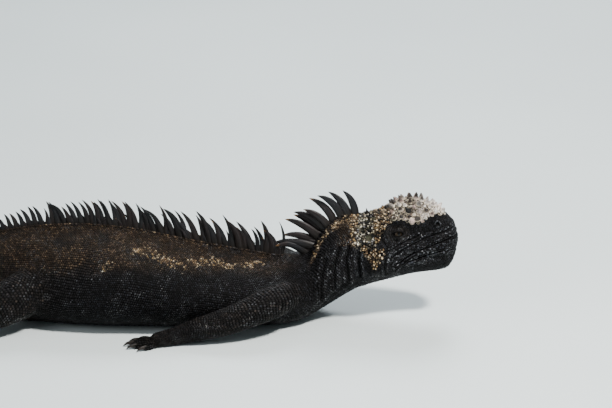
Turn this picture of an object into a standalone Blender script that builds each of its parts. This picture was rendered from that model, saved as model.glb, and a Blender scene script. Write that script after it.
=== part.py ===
"""A life-size marine iguana gliding at the surface, laid on its belly with its legs swept back.

Lengths below are in millimetres and become metres where a mesh is made. A place on the animal is
given as (back, side, height): the distance behind the snout along the body's line, the distance
from that line to the animal's left, and the height above the floor.
"""

import math
import random

import bmesh
import bpy
import numpy as np
from mathutils import Matrix, Vector

MM = 0.001
GAP = 0.3                 # kept between nodes that touch
SNOUT_TO_VENT = 400.0
TAIL_LENGTH = 560.0
LENGTH = SNOUT_TO_VENT + TAIL_LENGTH
BELLY_MIDDLE = 255.0      # the belly's place behind the snout, and the model's origin

# Where the body is parted: the ends of each node, behind the snout.
HEAD_END = 84.0
NECK_END = 132.5
TORSO_END = 402.0
TAIL_CUTS = (520.0, 650.0, 800.0)

# Sections of head, trunk and tail: back, top, underside, half width, height of the widest level,
# and how square the upper and the lower half are (2 is an ellipse).
SECTIONS = np.array((
    (0.0, 92.0, 43.5, 18.5, 66.0, 2.2, 2.2),
    (10.0, 92.5, 42.0, 19.5, 65.0, 2.2, 2.2),
    (20.0, 98.5, 40.5, 20.5, 64.0, 2.2, 2.3),
    (30.0, 102.5, 39.5, 22.0, 63.0, 2.4, 2.3),
    (41.0, 104.0, 38.0, 24.0, 62.0, 2.5, 2.3),
    (50.0, 102.0, 36.3, 26.5, 60.3, 2.5, 2.3),
    (57.0, 97.8, 34.8, 28.2, 58.8, 2.4, 2.3),
    (66.0, 93.5, 32.8, 30.0, 57.0, 2.3, 2.3),
    (76.0, 90.2, 30.0, 31.5, 55.0, 2.1, 2.3),
    (90.0, 88.5, 24.0, 31.0, 52.0, 1.9, 2.2),
    (102.0, 86.0, 17.0, 32.0, 47.0, 1.8, 2.2),
    (110.0, 81.5, 12.0, 34.0, 42.0, 1.8, 2.2),
    (117.0, 74.0, 8.0, 36.5, 37.0, 1.8, 2.2),
    (123.0, 63.0, 5.0, 39.5, 32.0, 1.9, 2.2),
    (129.0, 54.5, 2.5, 43.0, 28.0, 2.0, 2.3),
    (137.0, 51.5, 0.5, 47.0, 25.0, 2.0, 2.4),
    (150.0, 51.5, -1.0, 53.0, 24.0, 2.0, 2.5),
    (180.0, 56.0, -1.6, 59.0, 26.0, 2.0, 2.5),
    (230.0, 65.0, -1.8, 66.0, 30.0, 2.0, 2.5),
    (285.0, 75.5, -1.8, 69.0, 34.0, 2.0, 2.5),
    (330.0, 78.5, -1.8, 65.0, 35.0, 2.0, 2.5),
    (365.0, 77.0, -1.6, 53.0, 35.0, 2.0, 2.4),
    (395.0, 73.0, -1.4, 39.0, 33.0, 2.0, 2.3),
    (425.0, 67.0, -1.3, 28.0, 30.0, 2.0, 2.2),
    (470.0, 59.0, -1.2, 19.5, 27.0, 2.0, 2.2),
    (540.0, 50.0, -1.1, 13.5, 23.0, 2.0, 2.2),
    (640.0, 41.5, -1.0, 10.0, 19.0, 2.0, 2.2),
    (760.0, 32.0, -0.9, 7.3, 14.5, 2.0, 2.2),
    (880.0, 20.0, -0.8, 4.6, 9.0, 2.0, 2.2),
    (960.0, 7.0, -0.6, 2.2, 3.2, 2.0, 2.2),
))
SNOUT_ROUNDING = {"top": 16.0, "side": 18.0, "under": 11.0}
CHIN_SET_BACK = 1.2       # of the lower jaw's front behind the snout's
BACK_RIDGE = 2.2          # the fold that the crest stands on
RIDGE_WIDTH = 0.16        # in radians round the body
RIDGE_START = 12.0        # behind the head, over which the fold rises

# The swimming wave, as the heading's swing in degrees along the body.
WAVE_START = 130.0
WAVE_LENGTH = 400.0
WAVE_SWING = np.array((
    (0, 0), (130, 0), (300, 4), (400, 9), (480, 20), (600, 32), (700, 37), (960, 38),
))

# Swellings and hollows of the head: back, height, reach back, reach up, rise.
HEAD_RELIEF = (
    ("brow", 40.0, 90.0, 17.0, 4.0, 2.6),
    ("orbit", 52.0, 80.2, 9.5, 7.0, -2.6),
    ("lid mound", 52.0, 80.2, 6.0, 4.2, 1.9),
    ("jaw muscle", 70.0, 58.0, 11.0, 15.0, 3.0),
    ("snout side", 30.0, 80.0, 10.0, 5.0, -1.6),
    ("nostril mound", 17.0, 86.5, 5.0, 3.6, 1.7),
    ("upper lip front", 8.0, 69.0, 10.0, 4.5, 1.8),
    ("upper lip rear", 26.0, 65.0, 11.0, 3.6, 1.6),
    ("below the lip", 22.0, 57.5, 20.0, 3.0, -1.2),
    ("suborbital fold", 52.0, 68.5, 14.0, 2.6, 1.5),
    ("neck crease", 88.0, 48.0, 4.0, 20.0, -2.2),
)
RELIEF_SIDE = 1.6         # how soon the relief starts to the side of the midline
RELIEF_START = 8.0        # behind the snout, over which it grows

# The line of the mouth, as back and height, and the round pits.
MOUTH_LINE = np.array((
    (0.0, 61.6), (6.0, 62.6), (15.0, 63.0), (23.0, 61.4),
    (30.0, 58.8), (36.5, 56.4), (43.5, 53.6), (50.0, 49.5),
))
MOUTH_FRONT = (3.4, 1.6)  # closer steps round the front of the snout
MOUTH_WIDTH = 1.9
NOSTRIL = (18.0, 87.0)
NOSTRIL_RADIUS = 1.9
NOSTRIL_DEPTH = 1.3
EAR = (76.6, 77.0)
EAR_RADIUS = 3.8
EAR_DEPTH = 1.3

EYE = (52.0, 80.2)
EYE_RADIUS = 5.2
EYE_DEPTH = 3.2           # from the skin in to the eyeball's centre
LID_OPENING = (4.3, 2.5)
LID_THICKNESS = 1.35
LID_CLEARANCE = 0.5       # of the lids' middle line from the eyeball
LID_SEGMENTS = 14

# The crest: name, first and last root behind the snout, spacing, then length and width at both ends.
CRESTS = (
    ("nape", 90.5, 127.5, 5.5, 20.0, 31.0, 8.0, 8.6),
    ("shoulder", 156.0, 300.0, 6.9, 26.0, 25.0, 7.4, 6.8),
    ("loin", 305.0, 398.0, 5.8, 23.0, 13.5, 6.2, 5.2),
    ("tail root", 406.0, 640.0, 8.4, 12.0, 13.0, 5.2, 5.0),
    ("tail end", 648.0, 945.0, 10.2, 12.5, 3.6, 5.0, 2.6),
)
SPINE_THICKNESS = 0.5     # as a share of its width along the back
SPINE_SINK = 3.4
SPINE_TAPER = 1.8         # the higher, the longer a spine keeps its width
SPINE_LEAN = 14.0         # degrees back from the skin's normal
SPINE_SWEEP = 20.0        # degrees more by the tip
SPINE_VARIES = {"length": (0.86, 1.1), "lean": 5.0, "splay": 9.0}
TAIL_END_START = 800.0    # where the tail is so low that spines are rooted less deep
TAIL_END_SINK = 2.0
CUT_CLEARANCE = 4.2       # no root nearer than this before a cut
CUT_CLEARANCE_REAR = 3.4  # nor than this behind one

# Conical scales: name, first and last row behind the snout, spread to each side of the midline in
# degrees, pitch, width and height in the first and in the last row, and rings below the tip. The
# shoulder is the second ring: its height and its width as shares of the cone's.
CONE_FIELDS = (
    ("crown", 13.0, 62.0, 50, 7.6, 5.6, 4.0, 6.8, 6.2, 2),
    ("occiput", 69.0, 79.0, 46, 7.2, 5.2, 3.2, 4.6, 2.6, 1),
)
CONE_SIDES = 5
CONE_SINK = 1.2
CONE_FOOT = 1.15          # the sunk foot's width, as a share of the cone's
CONE_SHOULDER = (0.55, 0.6)
ROW_SPACING = 0.87        # of the pitch, as in close-set rows
CHEEK_PATCH = ((63.0, 67.0), (80.0, 68.0), (72.5, 51.0))
CHEEK_ROWS = 4
CHEEK_CONE = (5.4, 3.6)

# Limbs: joints as (back, side, height, radius across, radius up).
FORELEG = np.array((
    (140.0, 34.0, 31.0, 13.5, 13.5),
    (160.0, 57.0, 29.0, 14.0, 13.5),
    (180.0, 69.5, 24.0, 13.0, 12.5),
    (198.0, 75.5, 18.5, 11.0, 11.5),
    (216.0, 79.0, 14.0, 9.8, 10.0),
    (233.0, 81.5, 9.6, 8.0, 8.0),
    (243.0, 83.0, 7.0, 8.6, 6.6),
    (256.0, 85.0, 4.8, 11.0, 5.0),
))
HINDLEG = np.array((
    (352.0, 26.0, 40.0, 19.0, 20.0),
    (374.0, 47.0, 34.0, 19.0, 20.0),
    (396.0, 60.0, 27.5, 17.0, 18.0),
    (418.0, 64.5, 20.0, 13.0, 14.0),
    (440.0, 62.0, 15.0, 11.0, 11.5),
    (462.0, 58.5, 10.5, 8.8, 9.0),
    (476.0, 57.5, 7.5, 9.0, 7.0),
    (494.0, 58.0, 5.0, 12.0, 5.2),
))
FORE_PARTS = (("upper_arm", 0.0, 3.0), ("forearm", 3.0, 5.35), ("hand", 5.35, 7.0))
HIND_PARTS = (("thigh", 0.0, 3.0), ("shank", 3.0, 5.35), ("foot", 5.35, 7.0))
# Digits from the inner side out: share across the palm, splay in degrees, length, radius.
FORE_DIGITS = (
    (-0.78, -24, 9.0, 3.0), (-0.42, -10, 15.0, 3.2), (0.0, 1, 18.5, 3.2),
    (0.4, 11, 18.0, 3.1), (0.76, 26, 12.0, 2.9),
)
HIND_DIGITS = (
    (-0.8, -24, 11.0, 3.3), (-0.44, -11, 18.0, 3.5), (-0.04, 0, 26.0, 3.5),
    (0.38, 9, 33.0, 3.4), (0.78, 30, 19.0, 3.1),
)
# Rings of a digit: share of its length, size and height of the middle as shares of its radius.
DIGIT_RINGS = ((-0.35, 0.9, 1.25), (0.0, 1.05, 1.15), (0.3, 0.86, 1.0), (0.55, 0.98, 0.92), (1.0, 0.72, 0.8))
CLAW_LENGTH = 8.5
CLAW_WIDTH = 0.66         # of the digit's width
CLAW_SINK = 2.2
PALM_END = (2.6, 0.78)    # how far the palm's last ring stands out, and its share of the one before

AROUND_HEAD = 30
AROUND_TRUNK = 28
AROUND_TAIL = 16
AROUND_LIMB = 14
DIGIT_SIDES = 6
SNOUT_RINGS = (0.35, 1.4, 3.0, 5.0, 7.5, 10.5, 14.0)
HEAD_RINGS = 17           # evenly behind those
RINGS_PER_JOINT = 2
SIDES = (("left", True), ("right", False))
TRUNK_NODES = ("neck", "torso", "tail_base", "tail_middle", "tail_rear", "tail_tip")
RING_SPACING = {
    "neck": 4.8, "torso": 12.5, "tail_base": 12.0, "tail_middle": 14.0, "tail_rear": 15.0, "tail_tip": 14.0,
}
TAIL_TIP_HEIGHT = 2.2

SKIN_COLOUR = (0.035, 0.031, 0.029, 1)
CROWN_COLOUR = (0.24, 0.2, 0.155, 1)
EYE_COLOUR = (0.05, 0.035, 0.02, 1)


def clear_scene():
    for obj in list(bpy.data.objects):
        bpy.data.objects.remove(obj)


def smooth_through(knots, values, at):
    """A curve through the knots that never runs past them (monotone cubic)."""
    knots = np.asarray(knots, float)
    values = np.asarray(values, float)
    step = np.diff(knots)
    slope = np.diff(values) / step
    tangent = np.zeros(len(knots))
    same = slope[:-1] * slope[1:] > 0
    harmonic = 2 * slope[:-1] * slope[1:] / np.where(same, slope[:-1] + slope[1:], 1)
    tangent[1:-1] = np.where(same, harmonic, 0)
    tangent[0], tangent[-1] = slope[0], slope[-1]
    at = np.clip(at, knots[0], knots[-1])
    i = np.clip(np.searchsorted(knots, at, side="right") - 1, 0, len(step) - 1)
    u = (at - knots[i]) / step[i]
    return (
        (1 + 2 * u) * (1 - u) ** 2 * values[i]
        + u * (1 - u) ** 2 * step[i] * tangent[i]
        + u * u * (3 - 2 * u) * values[i + 1]
        - u * u * (1 - u) * step[i] * tangent[i + 1]
    )


def heading(back):
    """How far the body's line turns from straight back, in radians."""
    swing = smooth_through(WAVE_SWING[:, 0], WAVE_SWING[:, 1], back)
    return np.radians(swing) * np.sin(2 * np.pi * (back - WAVE_START) / WAVE_LENGTH)


LINE_BACK = np.arange(0.0, LENGTH + 1)
LINE_X = -np.concatenate(((0,), np.cumsum(np.cos(heading(LINE_BACK[:-1] + 0.5)))))
LINE_Y = np.concatenate(((0,), np.cumsum(np.sin(heading(LINE_BACK[:-1] + 0.5)))))
ORIGIN_X = float(np.interp(BELLY_MIDDLE, LINE_BACK, LINE_X))
ORIGIN_Y = float(np.interp(BELLY_MIDDLE, LINE_BACK, LINE_Y))


def place(back, side, height):
    """The world place, in millimetres, of a place on the animal."""
    x = np.interp(back, LINE_BACK, LINE_X) - ORIGIN_X
    y = np.interp(back, LINE_BACK, LINE_Y) - ORIGIN_Y
    turn = heading(back)
    return np.stack(np.broadcast_arrays(x + side * np.sin(turn), y + side * np.cos(turn), height), axis=-1)


def rounded(back, reach):
    """How much of its full size the snout has this far back."""
    return np.sqrt(np.clip(1 - (1 - np.clip(back / reach, 0, 1)) ** 2, 0, 1))


def section(back, around, swell=0.0):
    """Side and height of the skin at angles round the body, 0 on the back and rising to the left."""
    back, around = np.broadcast_arrays(np.asarray(back, float), np.asarray(around, float))
    top, under, half, middle, upper, lower = (
        smooth_through(SECTIONS[:, 0], SECTIONS[:, i], back) for i in range(1, 7)
    )
    over = np.cos(around) > 0
    power = 2 / np.where(over, upper, lower)
    depth = np.where(
        over,
        (top - middle) * rounded(back, SNOUT_ROUNDING["top"]),
        (middle - under) * rounded(back - CHIN_SET_BACK, SNOUT_ROUNDING["under"]),
    )
    width = half * rounded(back, SNOUT_ROUNDING["side"])
    side = (width + swell) * np.sign(np.sin(around)) * np.abs(np.sin(around)) ** power
    height = middle + (depth + swell) * np.sign(np.cos(around)) * np.abs(np.cos(around)) ** power
    from_ridge = np.minimum(np.abs(around), 2 * np.pi - np.abs(around))
    ridge = BACK_RIDGE * np.exp(-((from_ridge / RIDGE_WIDTH) ** 2))
    ridge *= np.clip((back - HEAD_END) / RIDGE_START, 0, 1)
    height = height + ridge * np.clip(depth / 20, 0, 1)
    out_side = side / np.maximum(width, 1)
    out_up = (height - middle) / np.maximum(depth, 1)
    length = np.maximum(np.hypot(out_side, out_up), 0.001)
    lateral = np.clip(np.abs(out_side) * RELIEF_SIDE, 0, 1)
    rise = np.zeros_like(side)
    for _, at, level, reach_back, reach_up, amount in HEAD_RELIEF:
        rise += amount * np.exp(-(((back - at) / reach_back) ** 2) - ((height - level) / reach_up) ** 2)
    rise *= lateral * np.clip(back / RELIEF_START, 0, 1)
    return side + rise * out_side / length, height + rise * out_up / length


def skin(back, around, swell=0.0):
    """World points of the skin, in millimetres."""
    side, height = section(back, around, swell)
    return place(back, side, height)


def skin_frame(back, around):
    """The skin's point, outward normal and direction towards the tail there."""
    step = 0.6
    turn = 0.03
    here = skin(back, around)
    rear = skin(back + step, around) - skin(back - step, around)
    across = skin(back, around + turn) - skin(back, around - turn)
    normal = np.cross(rear, across)
    normal /= np.linalg.norm(normal)
    if normal @ (here - place(back, 0.0, section(back, math.pi / 2)[1])) < 0:
        normal = -normal
    return here, normal, rear / np.linalg.norm(rear)


def at_height(back, height, left):
    """The angle round the body at which the side of the head has this height."""
    angles = np.linspace(0.15, math.pi - 0.15, 200)
    heights = section(back, angles)[1]
    found = float(angles[np.argmin(np.abs(heights - height))])
    return found if left else 2 * math.pi - found


def mesh_object(name, bm):
    bmesh.ops.recalc_face_normals(bm, faces=bm.faces)
    mesh = bpy.data.meshes.new(name)
    bm.to_mesh(mesh)
    bm.free()
    return bpy.data.objects.new(name, mesh)


def loft(name, rings, start_tip=None, end_tip=None):
    """A closed mesh through rings of points in millimetres, each end flat or drawn to a tip."""
    bm = bmesh.new()
    loops = [[bm.verts.new(Vector(p) * MM) for p in ring] for ring in rings]
    for ring, following in zip(loops, loops[1:]):
        for i, vert in enumerate(ring):
            j = (i + 1) % len(ring)
            bm.faces.new((vert, ring[j], following[j], following[i]))
    for ring, tip in ((loops[0], start_tip), (loops[-1], end_tip)):
        if tip is None:
            bm.faces.new(ring)
            continue
        point = bm.verts.new(Vector(tip) * MM)
        for i, vert in enumerate(ring):
            bm.faces.new((vert, ring[(i + 1) % len(ring)], point))
    return mesh_object(name, bm)


def head_solid():
    """The head, with rings that crowd towards the blunt snout."""
    angles = np.arange(AROUND_HEAD) * 2 * math.pi / AROUND_HEAD
    behind = np.linspace(SNOUT_RINGS[-1], HEAD_END - GAP / 2, HEAD_RINGS + 1)[1:]
    backs = list(SNOUT_RINGS) + list(behind)
    tip = skin(0.0, 0.0)
    return loft("head", [skin(back, angles) for back in backs], start_tip=tip)


def horn(name, root, normal, rear, width, thickness, length, sink, lean, sweep, splay, sides=4, rings=3):
    """A tapered, backswept spine: lens-shaped in section, its root sunk under the skin."""
    across = np.cross(normal, rear)
    loops = []
    centre = root - normal * sink
    for k in range(rings + 1):
        share = k / rings
        angle = math.radians(lean + sweep * share)
        tilt = math.radians(splay * share)
        along = normal * math.cos(angle) + rear * math.sin(angle)
        along = along * math.cos(tilt) + across * math.sin(tilt)
        if k:
            centre = centre + along * ((length + sink) / rings)
        size = (1 - 0.92 * share ** SPINE_TAPER) / 2
        flat = np.cross(across, along)
        turns = [2 * math.pi * i / sides for i in range(sides)]
        if k < rings:
            loops.append([
                centre + flat * width * size * math.cos(a) + across * thickness * size * math.sin(a)
                for a in turns
            ])
    return loft(name, loops, end_tip=centre)


def crest_roots():
    """Every crest spine: its place, length and width, spaced along the curve of the back."""
    chance = random.Random(11)
    line = skin(LINE_BACK, 0.0)
    run = np.concatenate(((0,), np.cumsum(np.linalg.norm(np.diff(line, axis=0), axis=1))))
    roots = []
    for name, first, last, spacing, long_first, long_last, wide_first, wide_last in CRESTS:
        start, end = np.interp((first, last), LINE_BACK, run)
        count = round((end - start) / spacing) + 1
        for share in np.linspace(0, 1, count):
            back = float(np.interp(start + (end - start) * share, run, LINE_BACK))
            length = (long_first + (long_last - long_first) * share) * chance.uniform(*SPINE_VARIES["length"])
            width = wide_first + (wide_last - wide_first) * share
            lean = SPINE_LEAN + SPINE_VARIES["lean"] * chance.uniform(-1, 1)
            splay = SPINE_VARIES["splay"] * chance.uniform(-1, 1)
            roots.append((name, back, length, width, lean, splay))
    return roots


def crest_spines(start, end):
    """The crest spines that stand between two cuts."""
    found = []
    for name, back, length, width, lean, splay in crest_roots():
        if not start + CUT_CLEARANCE_REAR < back < end - CUT_CLEARANCE:
            continue
        root, normal, rear = skin_frame(back, 0.0)
        half = float(smooth_through(SECTIONS[:, 0], SECTIONS[:, 3], back))
        thickness = min(width * SPINE_THICKNESS, half * 0.9)
        rings = 3 if name == "nape" else 2
        sink = SPINE_SINK if back < TAIL_END_START else TAIL_END_SINK
        found.append(horn(f"spine_{back:.0f}", root, normal, rear, width, thickness, length,
                          sink, lean, SPINE_SWEEP, splay, rings=rings))
    return found


def cone(name, root, axis, width, height, rings=1):
    """A conical scale, its foot sunk under the skin. A second ring makes its tip blunt."""
    turn = Vector(axis).to_track_quat("Z", "Y").to_matrix()
    levels = ((-CONE_SINK, CONE_FOOT), (height * CONE_SHOULDER[0], CONE_SHOULDER[1]))
    loops = []
    for level, share in levels[:rings]:
        around = np.arange(CONE_SIDES) * 2 * math.pi / CONE_SIDES
        spokes = [np.array(turn @ Vector((math.cos(a), math.sin(a), 0))) for a in around]
        loops.append([root + axis * level + spoke * width * share / 2 for spoke in spokes])
    return loft(name, loops, end_tip=root + axis * height)


def field_cones(field, chance):
    """Conical scales in staggered rows across the top of the head."""
    name, first, last, reach, pitch, wide_first, high_first, wide_last, high_last, rings = field
    found = []
    rows = max(2, round((last - first) / (pitch * ROW_SPACING)) + 1)
    for row, back in enumerate(np.linspace(first, last, rows)):
        share = row / (rows - 1)
        width = wide_first + (wide_last - wide_first) * share
        height = high_first + (high_last - high_first) * share
        edge = math.radians(reach) * min(1, 0.45 + back / 25)
        arc = skin(back, np.linspace(-edge, edge, 40))
        run = np.concatenate(((0,), np.cumsum(np.linalg.norm(np.diff(arc, axis=0), axis=1))))
        count = max(2, int(run[-1] / pitch) + row % 2)
        for k in range(count):
            along = (k + 0.5) / count * run[-1]
            around = float(np.interp(along, run, np.linspace(-edge, edge, 40)))
            middle = 1 - abs(around) / (edge + 0.2)
            size = (0.75 + 0.35 * middle) * chance.uniform(0.85, 1.15)
            root, normal, rear = skin_frame(back + chance.uniform(-0.5, 0.5), around)
            axis = normal + rear * chance.uniform(0.0, 0.3)
            axis /= np.linalg.norm(axis)
            found.append(cone(f"{name}_{row}_{k}", root, axis, width * size, height * size, rings))
    return found


def cheek_cones(left, chance):
    """The patch of long scales at the jaw's angle, which fan down and back."""
    front, rear_corner, foot = (np.array(corner) for corner in CHEEK_PATCH)
    found = []
    for row in range(CHEEK_ROWS):
        for k in range(CHEEK_ROWS - row):
            down = row / (CHEEK_ROWS - 1)
            across = 0.5 if row == CHEEK_ROWS - 1 else k / (CHEEK_ROWS - 1 - row)
            back, height = (front + (rear_corner - front) * across) * (1 - down) + foot * down
            root, normal, rear = skin_frame(back, at_height(back, height, left))
            axis = normal + rear * (across - 0.3) * 0.8 - np.array((0, 0, 0.5))
            axis /= np.linalg.norm(axis)
            size = chance.uniform(0.85, 1.15)
            found.append(cone(f"cheek_{row}_{k}", root, axis, CHEEK_CONE[0] * size, CHEEK_CONE[1] * size))
    return found


def tube(name, points, radius, closed=False):
    """A round tube along points in millimetres, made a mesh so that it can be joined or cut with."""
    curve = bpy.data.curves.new(name, "CURVE")
    curve.dimensions = "3D"
    curve.bevel_depth = radius * MM
    curve.bevel_resolution = 1
    curve.use_fill_caps = True
    spline = curve.splines.new("POLY")
    spline.points.add(len(points) - 1)
    for point, at in zip(spline.points, points):
        point.co = (*(Vector(at) * MM), 1)
    spline.use_cyclic_u = closed
    guide = bpy.data.objects.new(name + "_line", curve)
    bpy.context.scene.collection.objects.link(guide)
    made = applied_mesh(guide)
    bpy.data.objects.remove(guide)
    bm = bmesh.new()
    bm.from_mesh(made)
    bmesh.ops.remove_doubles(bm, verts=bm.verts, dist=0.00001)
    return mesh_object(name, bm)


def ball(name, centre, radius, segments=14, rings=8):
    bm = bmesh.new()
    bmesh.ops.create_uvsphere(bm, u_segments=segments, v_segments=rings, radius=radius * MM)
    bmesh.ops.transform(bm, matrix=Matrix.Translation(Vector(centre) * MM), verts=bm.verts)
    return mesh_object(name, bm)


def applied_mesh(obj):
    bpy.context.view_layer.update()
    graph = bpy.context.evaluated_depsgraph_get()
    return bpy.data.meshes.new_from_object(obj.evaluated_get(graph))


def keep_largest(obj):
    """Leaves only the largest closed surface, which drops scraps and sealed hollows."""
    bm = bmesh.new()
    bm.from_mesh(obj.data)
    unseen = set(bm.verts)
    shells = []
    while unseen:
        stack = [unseen.pop()]
        shell = set(stack)
        while stack:
            for edge in stack.pop().link_edges:
                for vert in edge.verts:
                    if vert in unseen:
                        unseen.discard(vert)
                        shell.add(vert)
                        stack.append(vert)
        shells.append(shell)
    largest = max(shells, key=len)
    loose = [vert for shell in shells if shell is not largest for vert in shell]
    bmesh.ops.delete(bm, geom=loose, context="VERTS")
    bm.to_mesh(obj.data)
    bm.free()


def boolean(obj, others, operation, solver):
    """Joins other closed meshes to this one, or cuts them from it, and removes them."""
    scene = bpy.context.scene.collection
    group = bpy.data.collections.new(obj.name + "_tools")
    scene.children.link(group)
    for other in others:
        group.objects.link(other)
    linked = obj.name in scene.objects
    if not linked:
        scene.objects.link(obj)
    step = obj.modifiers.new(operation.lower(), "BOOLEAN")
    step.operation = operation
    step.operand_type = "COLLECTION"
    step.collection = group
    step.solver = solver
    made = applied_mesh(obj)
    obj.modifiers.clear()
    obj.data = made
    for other in others:
        bpy.data.objects.remove(other)
    bpy.data.collections.remove(group)
    if not linked:
        scene.objects.unlink(obj)
    keep_largest(obj)


def fuse(obj, pieces, solver="MANIFOLD"):
    if pieces:
        boolean(obj, pieces, "UNION", solver)


def cut(obj, cutters, solver="MANIFOLD"):
    boolean(obj, cutters, "DIFFERENCE", solver)


def floor_block():
    """All that lies under the floor, to cut the flats that the animal rests on."""
    bm = bmesh.new()
    bmesh.ops.create_cube(bm, size=1.0)
    bmesh.ops.scale(bm, vec=(2.0, 2.0, 0.1), verts=bm.verts)
    bmesh.ops.translate(bm, vec=(0.0, 0.0, -0.05), verts=bm.verts)
    return mesh_object("floor_block", bm)


def eye_places(left):
    """The eyeball's centre, with the outward, rearward and upward directions there."""
    here, normal, rear = skin_frame(EYE[0], at_height(EYE[0], EYE[1], left))
    up = np.array((0.0, 0.0, 1.0)) - normal * normal[2]
    up /= np.linalg.norm(up)
    rear = np.cross(normal, up) * (1 if np.cross(normal, up) @ rear > 0 else -1)
    return here - normal * EYE_DEPTH, normal, rear, up


def lid_ring(left):
    """The lids as one almond ring that follows the eyeball."""
    centre, normal, rear, up = eye_places(left)
    reach = EYE_RADIUS + LID_CLEARANCE
    points = []
    for k in range(LID_SEGMENTS):
        angle = 2 * math.pi * k / LID_SEGMENTS
        across = (LID_OPENING[0] + LID_THICKNESS) * math.cos(angle)
        rise = (LID_OPENING[1] + LID_THICKNESS) * math.sin(angle)
        out = math.sqrt(max(reach ** 2 - across ** 2 - rise ** 2, 0.5))
        points.append(centre + rear * across + up * rise + normal * out)
    return tube("lids", points, LID_THICKNESS, closed=True)


def mouth_cutter():
    """The line of the mouth, from one corner round the front of the snout to the other."""
    backs = np.concatenate((np.linspace(MOUTH_LINE[-1, 0], 6, 11), MOUTH_FRONT))
    heights = smooth_through(MOUTH_LINE[:, 0], MOUTH_LINE[:, 1], backs)
    left = [skin(b, at_height(b, h, True)) for b, h in zip(backs, heights)]
    right = [skin(b, at_height(b, h, False)) for b, h in zip(backs, heights)]
    front = place(-0.2, 0.0, MOUTH_LINE[0, 1])
    return tube("mouth_line", left + [front] + right[::-1], MOUTH_WIDTH / 2)


def side_pit(name, spot, radius, depth, left):
    """A round pit in the side of the head."""
    here, normal, _ = skin_frame(spot[0], at_height(spot[0], spot[1], left))
    return ball(name, here + normal * (radius - depth), radius, segments=10, rings=6)


def build_head():
    chance = random.Random(5)
    head = head_solid()
    added = [cone_made for field in CONE_FIELDS for cone_made in field_cones(field, chance)]
    for left in (True, False):
        added += cheek_cones(left, chance)
        added.append(lid_ring(left))
    fuse(head, added)
    cutters = [mouth_cutter()]
    for left in (True, False):
        cutters.append(ball("socket", eye_places(left)[0], EYE_RADIUS + GAP))
        cutters.append(side_pit("nostril", NOSTRIL, NOSTRIL_RADIUS, NOSTRIL_DEPTH, left))
        cutters.append(side_pit("ear", EAR, EAR_RADIUS, EAR_DEPTH, left))
    cut(head, cutters)
    return head


def build_eyes():
    return [ball(f"eye_{word}", eye_places(left)[0], EYE_RADIUS) for word, left in SIDES]


def ring_places(start, end, spacing):
    return list(np.linspace(start, end, max(2, round((end - start) / spacing) + 1)))


def build_trunk():
    """Neck, torso and the lengths of the tail, each with its own run of the crest."""
    cuts = (HEAD_END, NECK_END, TORSO_END, *TAIL_CUTS, LENGTH)
    nodes = []
    for name, start, end in zip(TRUNK_NODES, cuts, cuts[1:]):
        around = AROUND_TRUNK if start < TORSO_END else AROUND_TAIL
        angles = np.arange(around) * 2 * math.pi / around
        last = LENGTH - 1 if end == LENGTH else end - GAP / 2
        backs = ring_places(start + GAP / 2, last, RING_SPACING[name])
        tip = place(LENGTH, 0.0, TAIL_TIP_HEIGHT) if end == LENGTH else None
        node = loft(name, [skin(back, angles) for back in backs], end_tip=tip)
        fuse(node, crest_spines(start, end))
        if start >= NECK_END:
            cut(node, [floor_block()])
        nodes.append(node)
    return nodes


def trunk_cutter():
    """The body from neck to tail, swollen by the gap, to shape the roots of the limbs."""
    angles = np.arange(AROUND_TRUNK) * 2 * math.pi / AROUND_TRUNK
    backs = ring_places(HEAD_END, NECK_END - GAP / 2, RING_SPACING["neck"])
    backs += ring_places(NECK_END + GAP / 2, TORSO_END - GAP / 2, RING_SPACING["torso"])
    backs += ring_places(TORSO_END + GAP / 2, TAIL_CUTS[0], RING_SPACING["tail_base"])
    return loft("trunk_cutter", [skin(back, angles, GAP) for back in backs])


def limb_ring(joints, at, side, shift=0.0, scale=1.0):
    """One ring of a limb at a number of joints along it, and its centre, direction and outer side."""
    places = place(joints[:, 0], side * joints[:, 1], joints[:, 2])
    number = np.arange(len(joints))

    def centre(t):
        return np.array([smooth_through(number, places[:, i], t) for i in range(3)])

    middle = centre(at)
    along = centre(min(at + 0.05, number[-1])) - centre(max(at - 0.05, 0))
    along /= np.linalg.norm(along)
    outer = -side * np.cross((0, 0, 1), along)
    outer /= np.linalg.norm(outer)
    rise = np.cross(outer, along)
    rise *= np.sign(rise[2])
    wide, tall = (smooth_through(number, joints[:, i], at) * scale for i in (3, 4))
    angles = np.arange(AROUND_LIMB) * 2 * math.pi / AROUND_LIMB
    middle = middle + along * shift
    ring = [middle + outer * wide * math.cos(a) + rise * tall * math.sin(a) for a in angles]
    return ring, middle, along, outer


def digit(name, knuckle, along, outer, splay, length, radius):
    """One toe that lies back along the floor, knobbed at its joints."""
    turn = math.radians(splay)
    way = along * math.cos(turn) + outer * math.sin(turn)
    way[2] = 0
    way /= np.linalg.norm(way)
    aside = np.cross((0, 0, 1), way)
    rings = []
    for share, size, lift in DIGIT_RINGS:
        middle = knuckle + way * length * share
        middle[2] = radius * lift
        rings.append([
            middle + (aside * math.cos(a) + np.array((0, 0, 1)) * math.sin(a)) * radius * size
            for a in np.arange(DIGIT_SIDES) * 2 * math.pi / DIGIT_SIDES
        ])
    end = knuckle + way * length
    end[2] = radius * DIGIT_RINGS[-1][2]
    width = radius * 2 * CLAW_WIDTH
    claw = horn(name + "_claw", end, way, np.array((0.0, 0.0, 1.0)), width * 1.1, width * 0.8,
                CLAW_LENGTH, CLAW_SINK, 2, 30, 0, sides=5, rings=2)
    return [loft(name, rings), claw]


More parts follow.
